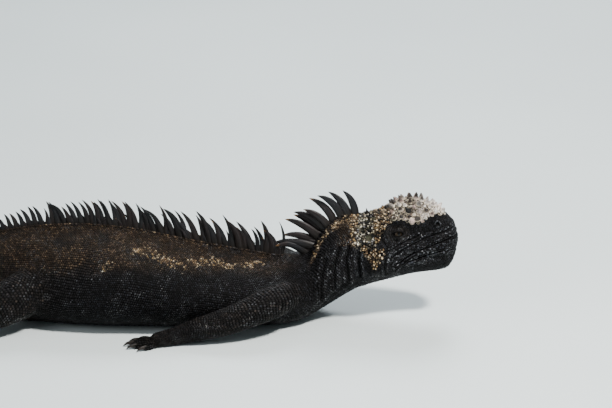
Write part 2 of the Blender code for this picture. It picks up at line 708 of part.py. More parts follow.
def build_limb(prefix, joints, parts, digits, side):
    nodes = []
    last = len(joints) - 1
    for name, start, end in parts:
        count = max(3, round((end - start) * RINGS_PER_JOINT) + 1)
        rings = []
        for k, at in enumerate(np.linspace(start, end, count)):
            shift = GAP / 2 if k == 0 and start > 0 else -GAP / 2 if k == count - 1 else 0
            rings.append(limb_ring(joints, at, side, shift)[0])
        _, knuckle, along, outer = limb_ring(joints, last, side)
        if end == last:
            rings.append(limb_ring(joints, last, side, *PALM_END)[0])
        node = loft(f"{prefix}_{name}", rings)
        if end == last:
            pieces = []
            for k, (share, splay, length, radius) in enumerate(digits):
                root = knuckle + outer * share * (joints[-1, 3] - radius * 0.6) - along * abs(share) * 2.5
                pieces += digit(f"digit_{k}", root, along, outer, splay, length, radius)
            fuse(node, pieces)
        if start == 0:
            cut(node, [trunk_cutter()])
        cut(node, [floor_block()])
        nodes.append(node)
    return nodes


def build_limbs():
    nodes = []
    for word, left in SIDES:
        side = 1 if left else -1
        nodes += build_limb(f"fore_{word}", FORELEG, FORE_PARTS, FORE_DIGITS, side)
        nodes += build_limb(f"hind_{word}", HINDLEG, HIND_PARTS, HIND_DIGITS, side)
    return nodes


def material(name, colour, roughness):
    made = bpy.data.materials.new(name)
    made.use_nodes = True
    shader = made.node_tree.nodes["Principled BSDF"]
    shader.inputs["Base Color"].default_value = colour
    shader.inputs["Roughness"].default_value = roughness
    shader.inputs["Metallic"].default_value = 0.0
    return made


def show(nodes, collection, parent, finish):
    """Puts finished nodes into the animal's collection, under its empty, with their material."""
    for node in nodes:
        collection.objects.link(node)
        node.parent = parent
        node.data.materials.clear()
        node.data.materials.append(finish)


def main():
    clear_scene()
    animal = bpy.data.collections.new("marine_iguana")
    bpy.context.scene.collection.children.link(animal)
    parent = bpy.data.objects.new("marine_iguana_frame", None)
    animal.objects.link(parent)
    show([build_head()], animal, parent, material("crown_and_face", CROWN_COLOUR, 0.6))
    show(build_eyes(), animal, parent, material("eye", EYE_COLOUR, 0.15))
    skin_finish = material("skin", SKIN_COLOUR, 0.55)
    show(build_trunk(), animal, parent, skin_finish)
    show(build_limbs(), animal, parent, skin_finish)


main()
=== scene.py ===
import math
import random
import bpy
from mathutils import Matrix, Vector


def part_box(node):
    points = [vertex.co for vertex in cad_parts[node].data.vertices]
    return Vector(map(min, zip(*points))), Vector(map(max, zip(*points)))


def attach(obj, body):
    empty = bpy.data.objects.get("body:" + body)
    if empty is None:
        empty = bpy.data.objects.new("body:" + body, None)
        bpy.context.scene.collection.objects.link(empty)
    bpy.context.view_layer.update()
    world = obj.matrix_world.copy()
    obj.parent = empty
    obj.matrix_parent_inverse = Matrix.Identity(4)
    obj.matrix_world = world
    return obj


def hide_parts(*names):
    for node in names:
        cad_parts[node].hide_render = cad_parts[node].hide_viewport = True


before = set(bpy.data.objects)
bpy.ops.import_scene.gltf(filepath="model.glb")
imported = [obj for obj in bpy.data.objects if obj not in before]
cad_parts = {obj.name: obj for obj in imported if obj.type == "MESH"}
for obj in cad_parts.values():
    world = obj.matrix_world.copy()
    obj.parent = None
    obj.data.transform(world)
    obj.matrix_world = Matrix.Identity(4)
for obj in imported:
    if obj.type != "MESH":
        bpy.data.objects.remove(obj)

from types import SimpleNamespace

import bmesh
import bpy
import numpy as np
from mathutils import Vector
from mathutils.bvhtree import BVHTree
from mathutils.kdtree import KDTree

bl_info = {
    "name": "Marine Iguana Model",
    "version": (1, 0, 0),
    "blender": (4, 5, 0),
    "location": "3D View > Sidebar > Iguana",
    "description": "Skin, scales, crest, eyes and claws for a life-size marine iguana",
    "category": "Object",
}

# Lengths are in millimetres and become metres where a mesh is made. A place on the animal is given
# as (back, side, height): behind the snout along the body's line, to its left, and above the floor.
MM = 0.001
UP = (0.0, 0.0, 1.0)
SNOUT_TO_VENT = 400.0
TAIL_LENGTH = 560.0
LENGTH = SNOUT_TO_VENT + TAIL_LENGTH
BELLY_MIDDLE = 255.0      # the origin's place behind the snout
HEAD_END = 84.0
FLOOR_CLEARANCE = 0.3     # of the skin's flats above the floor
FLESH = [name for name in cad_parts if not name.startswith("eye_")]
SIDES = (("left", 1), ("right", -1))

# Sections of head, trunk and tail: back, top, underside, half width, height of the widest level,
# and how square the upper and the lower half are (2 is an ellipse).
SECTIONS = np.array((
    (0.0, 92.0, 43.5, 18.5, 66.0, 2.2, 2.2),
    (10.0, 92.5, 42.0, 19.5, 65.0, 2.2, 2.2),
    (20.0, 98.5, 40.5, 20.5, 64.0, 2.2, 2.3),
    (30.0, 102.5, 39.5, 22.0, 63.0, 2.4, 2.3),
    (41.0, 104.0, 38.0, 24.0, 62.0, 2.5, 2.3),
    (50.0, 102.0, 36.3, 26.5, 60.3, 2.5, 2.3),
    (57.0, 97.8, 34.8, 28.2, 58.8, 2.4, 2.3),
    (66.0, 93.5, 32.8, 30.0, 57.0, 2.3, 2.3),
    (76.0, 90.2, 30.0, 31.5, 55.0, 2.1, 2.3),
    (90.0, 88.5, 24.0, 31.0, 52.0, 1.9, 2.2),
    (102.0, 86.0, 17.0, 32.0, 47.0, 1.8, 2.2),
    (110.0, 81.5, 12.0, 34.0, 42.0, 1.8, 2.2),
    (117.0, 74.0, 8.0, 36.5, 37.0, 1.8, 2.2),
    (123.0, 63.0, 5.0, 39.5, 32.0, 1.9, 2.2),
    (129.0, 54.5, 2.5, 43.0, 28.0, 2.0, 2.3),
    (137.0, 51.5, 0.5, 47.0, 25.0, 2.0, 2.4),
    (150.0, 51.5, -1.0, 53.0, 24.0, 2.0, 2.5),
    (180.0, 56.0, -1.6, 59.0, 26.0, 2.0, 2.5),
    (230.0, 65.0, -1.8, 66.0, 30.0, 2.0, 2.5),
    (285.0, 75.5, -1.8, 69.0, 34.0, 2.0, 2.5),
    (330.0, 78.5, -1.8, 65.0, 35.0, 2.0, 2.5),
    (365.0, 77.0, -1.6, 53.0, 35.0, 2.0, 2.4),
    (395.0, 73.0, -1.4, 39.0, 33.0, 2.0, 2.3),
    (425.0, 67.0, -1.3, 28.0, 30.0, 2.0, 2.2),
    (470.0, 59.0, -1.2, 19.5, 27.0, 2.0, 2.2),
    (540.0, 50.0, -1.1, 13.5, 23.0, 2.0, 2.2),
    (640.0, 41.5, -1.0, 10.0, 19.0, 2.0, 2.2),
    (760.0, 32.0, -0.9, 7.3, 14.5, 2.0, 2.2),
    (880.0, 20.0, -0.8, 4.6, 9.0, 2.0, 2.2),
    (960.0, 7.0, -0.6, 2.2, 3.2, 2.0, 2.2),
))
SNOUT_ROUNDING = {"top": 16.0, "side": 18.0, "under": 11.0}
CHIN_SET_BACK = 1.2
BACK_RIDGE = 2.2
RIDGE_WIDTH = 0.16
RIDGE_START = 12.0
COAT_DEPTH = 0.4          # the skin lies this far inside the solids, under its scales
WAVE_START = 130.0
WAVE_LENGTH = 400.0
WAVE_SWING = np.array((
    (0, 0), (130, 0), (300, 4), (400, 9), (480, 20), (600, 32), (700, 37), (960, 38),
))

# Swellings and hollows of the head: back, height, reach back, reach up, rise.
HEAD_RELIEF = (
    (40.0, 90.0, 17.0, 4.0, 2.6),         # brow
    (52.0, 80.2, 9.5, 7.0, -2.6),         # orbit
    (52.0, 80.2, 6.0, 4.2, 1.9),          # lid mound
    (70.0, 58.0, 11.0, 15.0, 3.0),        # jaw muscle
    (30.0, 80.0, 10.0, 5.0, -1.6),        # snout side
    (17.0, 86.5, 5.0, 3.6, 1.7),          # nostril mound
    (8.0, 69.0, 10.0, 4.5, 1.8),          # upper lip front
    (26.0, 65.0, 11.0, 3.6, 1.6),         # upper lip rear
    (22.0, 57.5, 20.0, 3.0, -1.2),        # below the lip
    (52.0, 68.5, 14.0, 2.6, 1.5),         # suborbital fold
    (88.0, 48.0, 4.0, 20.0, -2.2),        # neck crease
)
RELIEF_SIDE = 1.6
RELIEF_START = 8.0

# Lines on the side of the head, as back and height.
MOUTH_LINE = np.array((
    (0.0, 61.6), (6.0, 62.6), (15.0, 63.0), (23.0, 61.4),
    (30.0, 58.8), (36.5, 56.4), (43.5, 53.6), (50.0, 49.5),
))
# Creases: the line, depth, half width, and how much its two banks swell.
CREASES = (
    (((1.0, 74.2), (6.0, 73.6), (12.4, 72.0), (18.0, 70.2), (23.0, 68.2), (32.7, 65.0), (43.0, 60.0),
      (54.0, 52.5)), 1.4, 0.9, 0.75),
    (((6.0, 81.0), (18.9, 78.1), (32.7, 73.2), (45.6, 68.0), (58.0, 59.5)), 0.9, 0.9, 0.55),
    (((34.0, 77.0), (46.0, 73.0), (58.5, 67.4), (65.0, 63.0)), 1.1, 0.9, 0.65),
    (((38.0, 62.0), (47.0, 56.5), (54.0, 47.0)), 0.7, 0.8, 0.4),
    (((62.0, 62.0), (63.5, 55.0), (63.0, 44.0)), 0.7, 0.9, 0.4),
    (((62.0, 70.5), (66.0, 76.0), (66.0, 82.0)), 0.6, 0.9, 0.35),
    (((84.0, 70.0), (86.0, 58.0), (84.0, 44.0)), 1.0, 1.2, 0.5),
    (((93.0, 70.0), (96.0, 58.0), (94.0, 40.0)), 1.1, 1.3, 0.6),
    (((102.0, 68.0), (106.0, 54.0), (106.0, 34.0)), 1.1, 1.4, 0.6),
    (((113.0, 58.0), (117.0, 44.0), (118.0, 26.0)), 1.0, 1.5, 0.6),
)
EYE = (52.0, 80.2)
EYE_RADIUS = 5.2
EYE_DEPTH = 3.2
LID_OPENING = (3.9, 1.95)
LID_REACH = (7.4, 5.9)
LID_STEPS = (96, 24)      # round the opening, and from its rim out
EYE_STEPS = (48, 64)      # from front to back, and round
OUTSIDE = 14.0            # from the eye's middle to a place clear of the head
NOSTRIL = (18.0, 87.0)
EAR = (76.6, 77.0)
CHEEK_PATCH = ((62.8, 67.5), (83.5, 69.0), (71.8, 50.5))

# The lower edge of the pale crown, and of the ochre scales behind it, as back and height.
CROWN_EDGE = np.array((
    (0.0, 97.0), (9.5, 90.8), (21.0, 94.4), (28.4, 91.4), (34.4, 88.3), (41.3, 89.3), (47.3, 91.5),
    (54.0, 92.0), (60.0, 86.5), (65.0, 80.0), (69.0, 73.0), (74.0, 69.0), (82.0, 66.5), (94.0, 69.0),
))
# Bands of colour on the body: place behind the snout, and turn down from the ridge in degrees.
NAPE_UPPER = ((92, -10), (100, 4), (112, 10), (122, 17), (131, 25))
NAPE_LOWER = ((86, 28), (100, 20), (112, 23), (122, 31), (131, 40))
FLANK_LINE = ((150, 18), (177, 21), (196, 31), (230, 36), (273, 36), (300, 50), (330, 54))
BROWN_EDGE = ((84, 14), (132, 16), (150, 24), (330, 50), (420, 60), (960, 70))
# How golden the flank's patches are along their line.
FLANK_PATCHES = (
    (150, 0.0), (165, 0.5), (172, 0.75), (184, 0.5), (195, 0.55), (203, 0.8),
    (262, 0.8), (276, 0.6), (290, 0.2), (299, 0.8), (308, 0.0),
)
# The crown's tallest cones: back, side, radius, rise, and how dark the tip is.
CROWN_PEAKS = (
    (12.9, 0.8, 2.8, 3.0, 0.25), (19.8, -1.2, 3.0, 3.8, 0.35), (27.0, 0.6, 3.3, 4.8, 0.6),
    (36.3, -0.4, 3.9, 6.8, 1.0), (47.3, 0.5, 3.6, 5.6, 0.7), (54.2, -1.0, 3.3, 4.6, 1.0),
    (61.2, 0.6, 2.8, 3.2, 0.9), (67.6, -0.6, 2.5, 2.8, 0.7), (31.0, 7.5, 3.3, 4.4, 0.6),
    (41.5, -8.0, 3.4, 4.6, 0.9), (24.0, -8.5, 3.1, 3.6, 0.4), (50.0, 8.6, 3.2, 3.8, 0.9),
)
# The dark plates low on each side of the crown: back, height, radius, and chance, which picks the tone.
DARK_PLATES = (
    (43.0, 98.0, 4.2, 0.99), (35.3, 92.3, 4.3, 0.935), (48.8, 94.0, 3.2, 0.935), (27.5, 97.5, 3.0, 0.935),
)

# The nape's spines: place behind the snout, side, length, and lean from upright in degrees.
NAPE_SPINES = np.array((
    (89.1, 0.0, 24.5, 25), (94.9, 0.0, 26.5, 40), (101.1, 0.0, 29.0, 45), (108.2, 0.0, 28.5, 46),
    (113.0, 1.6, 25.0, 55), (116.0, 0.0, 29.5, 63), (119.0, -2.6, 27.5, 58), (120.5, 0.6, 33.0, 62),
    (123.0, -1.2, 29.0, 79), (125.5, 0.8, 35.0, 87), (128.4, -1.4, 30.0, 80), (131.5, 0.5, 23.0, 70),
))
# The trunk's tall spines: place, length, lean in degrees and width.
TRUNK_SPINES = np.array((
    (152.3, 29.7, 3, 4.6), (156.0, 23.3, 24, 7.6), (161.0, 24.5, 16, 6.6), (165.7, 30.5, 7, 8.2),
    (168.6, 23.4, 18, 6.4), (173.3, 22.4, 12, 5.4), (177.5, 28.6, 28, 7.8), (183.5, 22.0, 20, 6.2),
    (188.4, 29.6, 22, 9.8), (194.5, 29.8, 16, 7.4), (200.6, 28.7, 28, 7.6), (205.5, 24.0, 16, 6.4),
    (210.0, 25.0, 24, 8.6), (214.3, 32.1, 20, 7.6), (220.0, 24.1, 14, 6.2), (225.5, 28.8, 28, 7.6),
    (232.4, 22.7, 34, 6.6), (236.0, 26.5, 18, 6.4), (240.4, 30.3, 26, 9.5), (246.8, 22.0, 24, 6.2),
    (252.0, 26.0, 12, 6.6), (256.4, 25.5, 30, 7.4), (262.4, 25.3, 26, 7.6), (268.0, 21.5, 18, 6.2),
    (273.6, 22.8, 10, 6.8), (277.6, 25.0, 23, 7.6), (284.0, 25.3, 12, 6.6), (287.5, 25.6, 26, 6.8),
    (292.0, 24.1, 22, 6.4), (295.5, 23.9, 14, 6.2), (299.6, 25.4, 26, 6.6), (302.6, 24.1, 12, 6.2),
    (306.6, 22.5, 18, 6.4), (310.8, 23.3, 12, 6.4), (315.0, 23.4, 22, 7.0), (319.7, 20.9, 20, 6.6),
    (325.0, 21.4, 24, 7.0), (330.0, 19.6, 26, 6.8), (334.5, 17.7, 24, 6.2), (339.5, 21.6, 30, 6.4),
    (345.0, 22.0, 20, 6.4), (350.2, 21.4, 12, 6.2), (354.6, 15.0, 8, 5.2), (359.0, 18.3, 24, 6.2),
    (364.4, 18.1, 20, 6.2), (369.6, 17.2, 26, 6.2), (375.2, 15.6, 22, 6.0), (380.6, 14.0, 24, 6.0),
    (386.0, 15.0, 20, 5.8), (391.4, 13.2, 24, 5.6), (396.8, 14.2, 22, 5.4),
))
# The tail's spines: first and last root, spacing, then length and width at both ends.
TAIL_CREST = (
    (402.0, 640.0, 6.2, 13.0, 13.5, 5.4, 5.2),
    (646.0, 948.0, 7.2, 13.0, 3.6, 5.0, 2.4),
)

# Limbs: joints as (back, side, height, radius across, radius up).
FORELEG = np.array((
    (140.0, 34.0, 31.0, 13.5, 13.5),
    (160.0, 57.0, 29.0, 14.0, 13.5),
    (180.0, 69.5, 24.0, 13.0, 12.5),
    (198.0, 75.5, 18.5, 11.0, 11.5),
    (216.0, 79.0, 14.0, 9.8, 10.0),
    (233.0, 81.5, 9.6, 8.0, 8.0),
    (243.0, 83.0, 7.0, 8.6, 6.6),
    (256.0, 85.0, 4.8, 11.0, 5.0),
))
HINDLEG = np.array((
    (352.0, 26.0, 40.0, 19.0, 20.0),
    (374.0, 47.0, 34.0, 19.0, 20.0),
    (396.0, 60.0, 27.5, 17.0, 18.0),
    (418.0, 64.5, 20.0, 13.0, 14.0),
    (440.0, 62.0, 15.0, 11.0, 11.5),
    (462.0, 58.5, 10.5, 8.8, 9.0),
    (476.0, 57.5, 7.5, 9.0, 7.0),
    (494.0, 58.0, 5.0, 12.0, 5.2),
))
# Digits from the inner side out: share across the palm, splay in degrees, length, radius.
FORE_DIGITS = (
    (-0.78, -24, 9.0, 3.0), (-0.42, -10, 15.0, 3.2), (0.0, 1, 18.5, 3.2),
    (0.4, 11, 18.0, 3.1), (0.76, 26, 12.0, 2.9),
)
HIND_DIGITS = (
    (-0.8, -24, 11.0, 3.3), (-0.44, -11, 18.0, 3.5), (-0.04, 0, 26.0, 3.5),
    (0.38, 9, 33.0, 3.4), (0.78, 30, 19.0, 3.1),
)
DIGIT_RINGS = np.array((
    (-0.35, 0.9, 1.25), (0.0, 1.02, 1.15), (0.16, 0.92, 1.08), (0.3, 0.84, 1.0), (0.42, 0.9, 0.96),
    (0.55, 0.98, 0.92), (0.68, 0.84, 0.88), (0.8, 0.78, 0.84), (0.9, 0.84, 0.82), (1.0, 0.7, 0.8),
))
CLAW_LENGTH = 8.5
LIMBS = (("fore", FORELEG, FORE_DIGITS), ("hind", HINDLEG, HIND_DIGITS))


def all_limbs():
    """The name, joints, digits and side of each limb, 1 for the left side and -1 for the right."""
    for word, side in SIDES:
        for prefix, joints, digits in LIMBS:
            yield f"{prefix}_{word}", joints, digits, side


def length(name, description, default):
    """A setting that is a length in metres."""
    return bpy.props.FloatProperty(
        name=name, description=description, default=default, min=0.001, unit="LENGTH")


def tint(name, description, default):
    """A setting that is a colour."""
    return bpy.props.FloatVectorProperty(
        name=name, description=description, default=default, subtype="COLOR")


class IguanaSettings(bpy.types.PropertyGroup):
    """Sizes and colours of the model that a user would change."""

    flank_pitch: length("Flank scales", "Length of a flank scale", 0.0020)
    face_pitch: length("Face scales", "Distance between the face's granules", 0.00145)
    tail_pitch: length("Tail scales", "Length of a tail scale", 0.0031)
    charcoal: tint("Charcoal", "Colour of the face and the lower flanks", (0.0050, 0.0047, 0.0053))
    brown: tint("Brown", "Colour of the back and the upper flanks", (0.026, 0.0172, 0.0105))
    ochre: tint("Ochre", "Colour of the nape and of the flanks' patches", (0.32, 0.215, 0.105))
    olive: tint("Olive", "Colour between the ochre scales", (0.08, 0.078, 0.05))
    cream: tint("Cream", "Colour of the crown", (0.54, 0.46, 0.38))
    horn: tint("Horn", "Colour of the crest", (0.0075, 0.0075, 0.009))
    claw: tint("Claw", "Colour of the claws", (0.022, 0.019, 0.017))
    floor: tint("Floor", "Colour of the floor", (0.72, 0.79, 0.79))


def settings():
    """The scene's values of the settings."""
    return bpy.context.scene.iguana


def smooth_through(knots, values, at):
    """A curve through the knots that never runs past them (monotone cubic)."""
    knots = np.asarray(knots, float)
    values = np.asarray(values, float)
    step = np.diff(knots)
    slope = np.diff(values) / step
    tangent = np.zeros(len(knots))
    same = slope[:-1] * slope[1:] > 0
    harmonic = 2 * slope[:-1] * slope[1:] / np.where(same, slope[:-1] + slope[1:], 1)
    tangent[1:-1] = np.where(same, harmonic, 0)
    tangent[0], tangent[-1] = slope[0], slope[-1]
    at = np.clip(at, knots[0], knots[-1])
    i = np.clip(np.searchsorted(knots, at, side="right") - 1, 0, len(step) - 1)
    u = (at - knots[i]) / step[i]
    return (
        (1 + 2 * u) * (1 - u) ** 2 * values[i]
        + u * (1 - u) ** 2 * step[i] * tangent[i]
        + u * u * (3 - 2 * u) * values[i + 1]
        - u * u * (1 - u) * step[i] * tangent[i + 1]
    )


def along(table, back, column=1):
    """A smooth curve through one column of a table, whose first column is the place."""
    return smooth_through(table[:, 0], table[:, column], back)


def read(table, back):
    """A straight reading between the rows of a table of two columns."""
    return np.interp(back, *np.transpose(table))


def ramp(value, start, end):
    """0 before start, 1 after end, and smooth between."""
    t = np.clip((value - start) / (end - start), 0, 1)
    return t * t * (3 - 2 * t)


def hump(off, width):
    """1 where off is 0, falling smoothly to both sides."""
    return np.exp(-((off / width) ** 2))


def unit(vectors):
    """The same directions, 1 long."""
    return vectors / np.maximum(np.linalg.norm(vectors, axis=-1, keepdims=True), 1e-9)


def heading(back):
    """How far the body's line turns from straight back, in radians."""
    return np.radians(along(WAVE_SWING, back)) * np.sin(2 * np.pi * (back - WAVE_START) / WAVE_LENGTH)


LINE_BACK = np.arange(0.0, LENGTH + 1)
LINE_X = -np.concatenate(((0,), np.cumsum(np.cos(heading(LINE_BACK[:-1] + 0.5)))))
LINE_Y = np.concatenate(((0,), np.cumsum(np.sin(heading(LINE_BACK[:-1] + 0.5)))))
ORIGIN_X = float(np.interp(BELLY_MIDDLE, LINE_BACK, LINE_X))
ORIGIN_Y = float(np.interp(BELLY_MIDDLE, LINE_BACK, LINE_Y))


def place(back, side, height):
    """The world place, in millimetres, of a place on the animal."""
    x = np.interp(back, LINE_BACK, LINE_X) - ORIGIN_X
    y = np.interp(back, LINE_BACK, LINE_Y) - ORIGIN_Y
    turn = heading(back)
    return np.stack(np.broadcast_arrays(x + side * np.sin(turn), y + side * np.cos(turn), height), axis=-1)


def body_place(points):
    """The back, side and height of world points in millimetres."""
    x, y = points[..., 0] + ORIGIN_X, points[..., 1] + ORIGIN_Y
    back = np.interp(-x, -LINE_X, LINE_BACK)
    for _ in range(6):
        turn = heading(back)
        off_x = x - np.interp(back, LINE_BACK, LINE_X)
        off_y = y - np.interp(back, LINE_BACK, LINE_Y)
        back = np.clip(back - off_x * np.cos(turn) + off_y * np.sin(turn), 0, LENGTH)
    return back, off_x * np.sin(turn) + off_y * np.cos(turn), points[..., 2]


def rounded(back, reach):
    """How much of its full size the snout has this far back."""
    return np.sqrt(np.clip(1 - (1 - np.clip(back / reach, 0, 1)) ** 2, 0, 1))


def section(back, around, swell=0.0):
    """Side and height of the body's form at angles round it, 0 on the back and rising to the left."""
    back, around = np.broadcast_arrays(np.asarray(back, float), np.asarray(around, float))
    top, under, half, middle, upper, lower = (along(SECTIONS, back, i) for i in range(1, 7))
    over = np.cos(around) > 0
    power = 2 / np.where(over, upper, lower)
    depth = np.where(
        over,
        (top - middle) * rounded(back, SNOUT_ROUNDING["top"]),
        (middle - under) * rounded(back - CHIN_SET_BACK, SNOUT_ROUNDING["under"]),
    )
    width = half * rounded(back, SNOUT_ROUNDING["side"])
    side = (width + swell) * np.sign(np.sin(around)) * np.abs(np.sin(around)) ** power
    height = middle + (depth + swell) * np.sign(np.cos(around)) * np.abs(np.cos(around)) ** power
    from_ridge = np.minimum(np.abs(around), 2 * np.pi - np.abs(around))
    ridge = BACK_RIDGE * hump(from_ridge, RIDGE_WIDTH)
    ridge *= np.clip((back - HEAD_END) / RIDGE_START, 0, 1)
    height = height + ridge * np.clip(depth / 20, 0, 1)
    out_side = side / np.maximum(width, 1)
    out_up = (height - middle) / np.maximum(depth, 1)
    length = np.maximum(np.hypot(out_side, out_up), 0.001)
    lateral = np.clip(np.abs(out_side) * RELIEF_SIDE, 0, 1)
    rise = np.zeros_like(side)
    for at, level, reach_back, reach_up, amount in HEAD_RELIEF:
        rise += amount * np.exp(-(((back - at) / reach_back) ** 2) - ((height - level) / reach_up) ** 2)
    rise *= lateral * np.clip(back / RELIEF_START, 0, 1)
    return side + rise * out_side / length, height + rise * out_up / length


def body_form(back, around, swell=0.0):
    """World points of the body's form, in millimetres."""
    side, height = section(back, around, swell)
    return place(back, side, height)


def form_frame(back, around):
    """The form's point, outward normal and direction towards the tail there."""
    step, turn = 0.6, 0.03
    here = body_form(back, around)
    rear = body_form(back + step, around) - body_form(back - step, around)
    across = body_form(back, around + turn) - body_form(back, around - turn)
    normal = unit(np.cross(rear, across))
    if normal @ (here - place(back, 0.0, section(back, math.pi / 2)[1])) < 0:
        normal = -normal
    return here, normal, unit(rear)


def at_height(back, height, side):
    """The angle round the body at which the side of the head has this height."""
    angles = np.linspace(0.15, math.pi - 0.15, 200)
    heights = section(back, angles)[1]
    found = float(angles[np.argmin(np.abs(heights - height))])
    return found if side > 0 else 2 * math.pi - found


def line_distance(back, height, line):
    """How far places on the head's side are from a line on it."""
    line = np.asarray(line, float)
    nearest = np.full(np.shape(back), 1e9)
    for start, end in zip(line, line[1:]):
        way = end - start
        share = np.clip(((back - start[0]) * way[0] + (height - start[1]) * way[1]) / (way @ way), 0, 1)
        off = np.hypot(back - start[0] - share * way[0], height - start[1] - share * way[1])
        nearest = np.minimum(nearest, off)
    return nearest


def inside_patch(back, height, corners):
    """Above 0 inside a triangle on the head's side, in millimetres from its edges."""
    corners = np.array(corners)
    middle = corners.mean(0)
    deepest = np.full(np.shape(back), 1e9)
    for start, end in zip(corners, np.roll(corners, -1, 0)):
        normal = np.array((end[1] - start[1], start[0] - end[0]))
        normal /= np.linalg.norm(normal) * np.sign(normal @ (middle - start))
        deepest = np.minimum(deepest, (back - start[0]) * normal[0] + (height - start[1]) * normal[1])
    return deepest


def zones(back, side, height):
    """How pale, golden and brown the hide is at places on the animal, each from 0 to 1."""
    top, middle, half = (along(SECTIONS, back, i) for i in (1, 4, 3))
    turn = np.degrees(np.arctan2(np.abs(side) / half, (height - middle) / np.maximum(top - middle, 1)))
    edge = read(CROWN_EDGE, back)
    above = ramp(height - edge, -0.6, 0.9)
    pale = above * ramp(back, 8.0, 10.5) * (1 - ramp(back, 46.0, 74.0)) * (1 - 0.25 * ramp(back, 24.0, 46.0))
    ochre = 0.9 * above * ramp(back, 44.0, 62.0) * (1 - ramp(back, 90.0, 96.0))
    ragged = 1.3 * np.sin(back / 0.9 + 1) * np.sin(height / 1.1)
    cheek = 0.95 * ramp(inside_patch(back, height, CHEEK_PATCH) + ragged, -1.6, 0.8)
    lower, higher = read(NAPE_LOWER, back), read(NAPE_UPPER, back)
    nape = 0.54 * ramp(back, 84.0, 90.0) * (1 - ramp(back, 122.0, 131.0))
    nape *= (1 - ramp(turn, lower, lower + 7)) * ramp(turn, higher - 5, higher + 2)
    line, patches = read(FLANK_LINE, back), read(FLANK_PATCHES, back)
    clots = np.sin(back / 3.9 + 1.7 * np.sin(turn / 5.0)) + np.sin(back / 6.7 - turn / 3.3 + 1.0)
    clots += np.sin(back / 2.3 + turn / 2.1)
    flank = patches * hump(turn - line - 4 * np.sin(back / 9.0), 7.5) * (1.0 + 0.2 * clots)
    foot = 0.35 * (1 - ramp(turn, 3.0, 8.0)) * ramp(back, 132.0, 150.0) * (1 - ramp(back, 400.0, 430.0))
    upper = read(BROWN_EDGE, back)
    brown = (1 - ramp(turn, upper, upper + 22)) * ramp(back, 128.0, 172.0)
    brown = np.maximum(brown, 0.5 * ramp(back, 320.0, 430.0))
    warm = 0.75 * above * (ramp(back, 84.0, 93.0) + ramp(back, 50.0, 58.0) * (1 - ramp(back, 66.0, 76.0)))
    brown = np.maximum.reduce((brown, 1.1 * cheek, 1.5 * nape, warm * (1 - ramp(back, 98.0, 110.0))))
    golden = np.maximum.reduce((ochre, cheek, nape, flank, foot))
    return np.stack((pale * (1 - cheek), golden, brown), -1)


def new_piece(name, verts, faces, collection="Iguana"):
    """A mesh object from arrays of points in metres and of triangles or quads."""
    faces = np.asarray(faces)
    count, corners = faces.shape
    mesh = bpy.data.meshes.new(name)
    mesh.vertices.add(len(verts))
    mesh.vertices.foreach_set("co", np.asarray(verts, np.float32).ravel())
    mesh.loops.add(count * corners)
    mesh.loops.foreach_set("vertex_index", faces.ravel().astype(np.int32))
    mesh.polygons.add(count)
    mesh.polygons.foreach_set("loop_start", (np.arange(count) * corners).astype(np.int32))
    mesh.update(calc_edges=True)
    mesh.validate()
    return show(bpy.data.objects.new(name, mesh), collection)


def show(piece, collection="Iguana"):
    """Puts an object into a collection of the scene, which is made if it isn't there."""
    group = bpy.data.collections.get(collection)
    if group is None:
        group = bpy.data.collections.new(collection)
        bpy.context.scene.collection.children.link(group)
    group.objects.link(piece)
    return piece


def points_of(piece):
    """A piece's points in millimetres."""
    co = np.empty(len(piece.data.vertices) * 3, np.float32)
    piece.data.vertices.foreach_get("co", co)
    return co.reshape(-1, 3).astype(float) / MM


def set_points(piece, points):
    """Moves a piece's points, given in millimetres."""
    piece.data.vertices.foreach_set("co", (points * MM).astype(np.float32).ravel())
    piece.data.update()


def add_values(piece, **named):
    """Stores one number, or three, at each point under each name for the materials to read."""
    for name, values in named.items():
        values = np.asarray(values, np.float32)
        kind, field = ("FLOAT_VECTOR", "vector") if values.ndim == 2 else ("FLOAT", "value")
        made = piece.data.attributes.new(name, kind, "POINT")
        made.data.foreach_set(field, values.ravel())


def add_bake_map(piece, uv):
    """Gives each point its place on an unwrap of the skin."""
    layer = piece.data.uv_layers.new(name="OFBake")
    corners = np.empty(len(piece.data.loops), np.int32)
    piece.data.loops.foreach_get("vertex_index", corners)
    layer.data.foreach_set("uv", np.clip(uv, 0.001, 0.999).astype(np.float32)[corners].ravel())


def loft_faces(rings, around, first=0):
    """Quads between rings of points."""
    i = np.arange(rings - 1)[:, None] * around
    j = np.arange(around)[None, :]
    k = (j + 1) % around
    return np.stack((i + j, i + k, i + around + k, i + around + j), -1).reshape(-1, 4) + first


def closed_loft(name, grid, start_tip, end_tip):
    """A closed piece through a grid of rings, drawn to a point at both ends."""
    rings, around = grid.shape[:2]
    bm = bmesh.new()
    verts = [bm.verts.new(p * MM) for p in grid.reshape(-1, 3)]
    ends = [bm.verts.new(np.asarray(tip) * MM) for tip in (start_tip, end_tip)]
    for quad in loft_faces(rings, around):
        bm.faces.new([verts[i] for i in quad])
    for j in range(around):
        k = (j + 1) % around
        bm.faces.new((verts[k], verts[j], ends[0]))
        last = (rings - 1) * around
        bm.faces.new((verts[last + j], verts[last + k], ends[1]))
    bmesh.ops.recalc_face_normals(bm, faces=bm.faces)
    mesh = bpy.data.meshes.new(name)
    bm.to_mesh(mesh)
    bm.free()
    return bpy.data.objects.new(name, mesh)


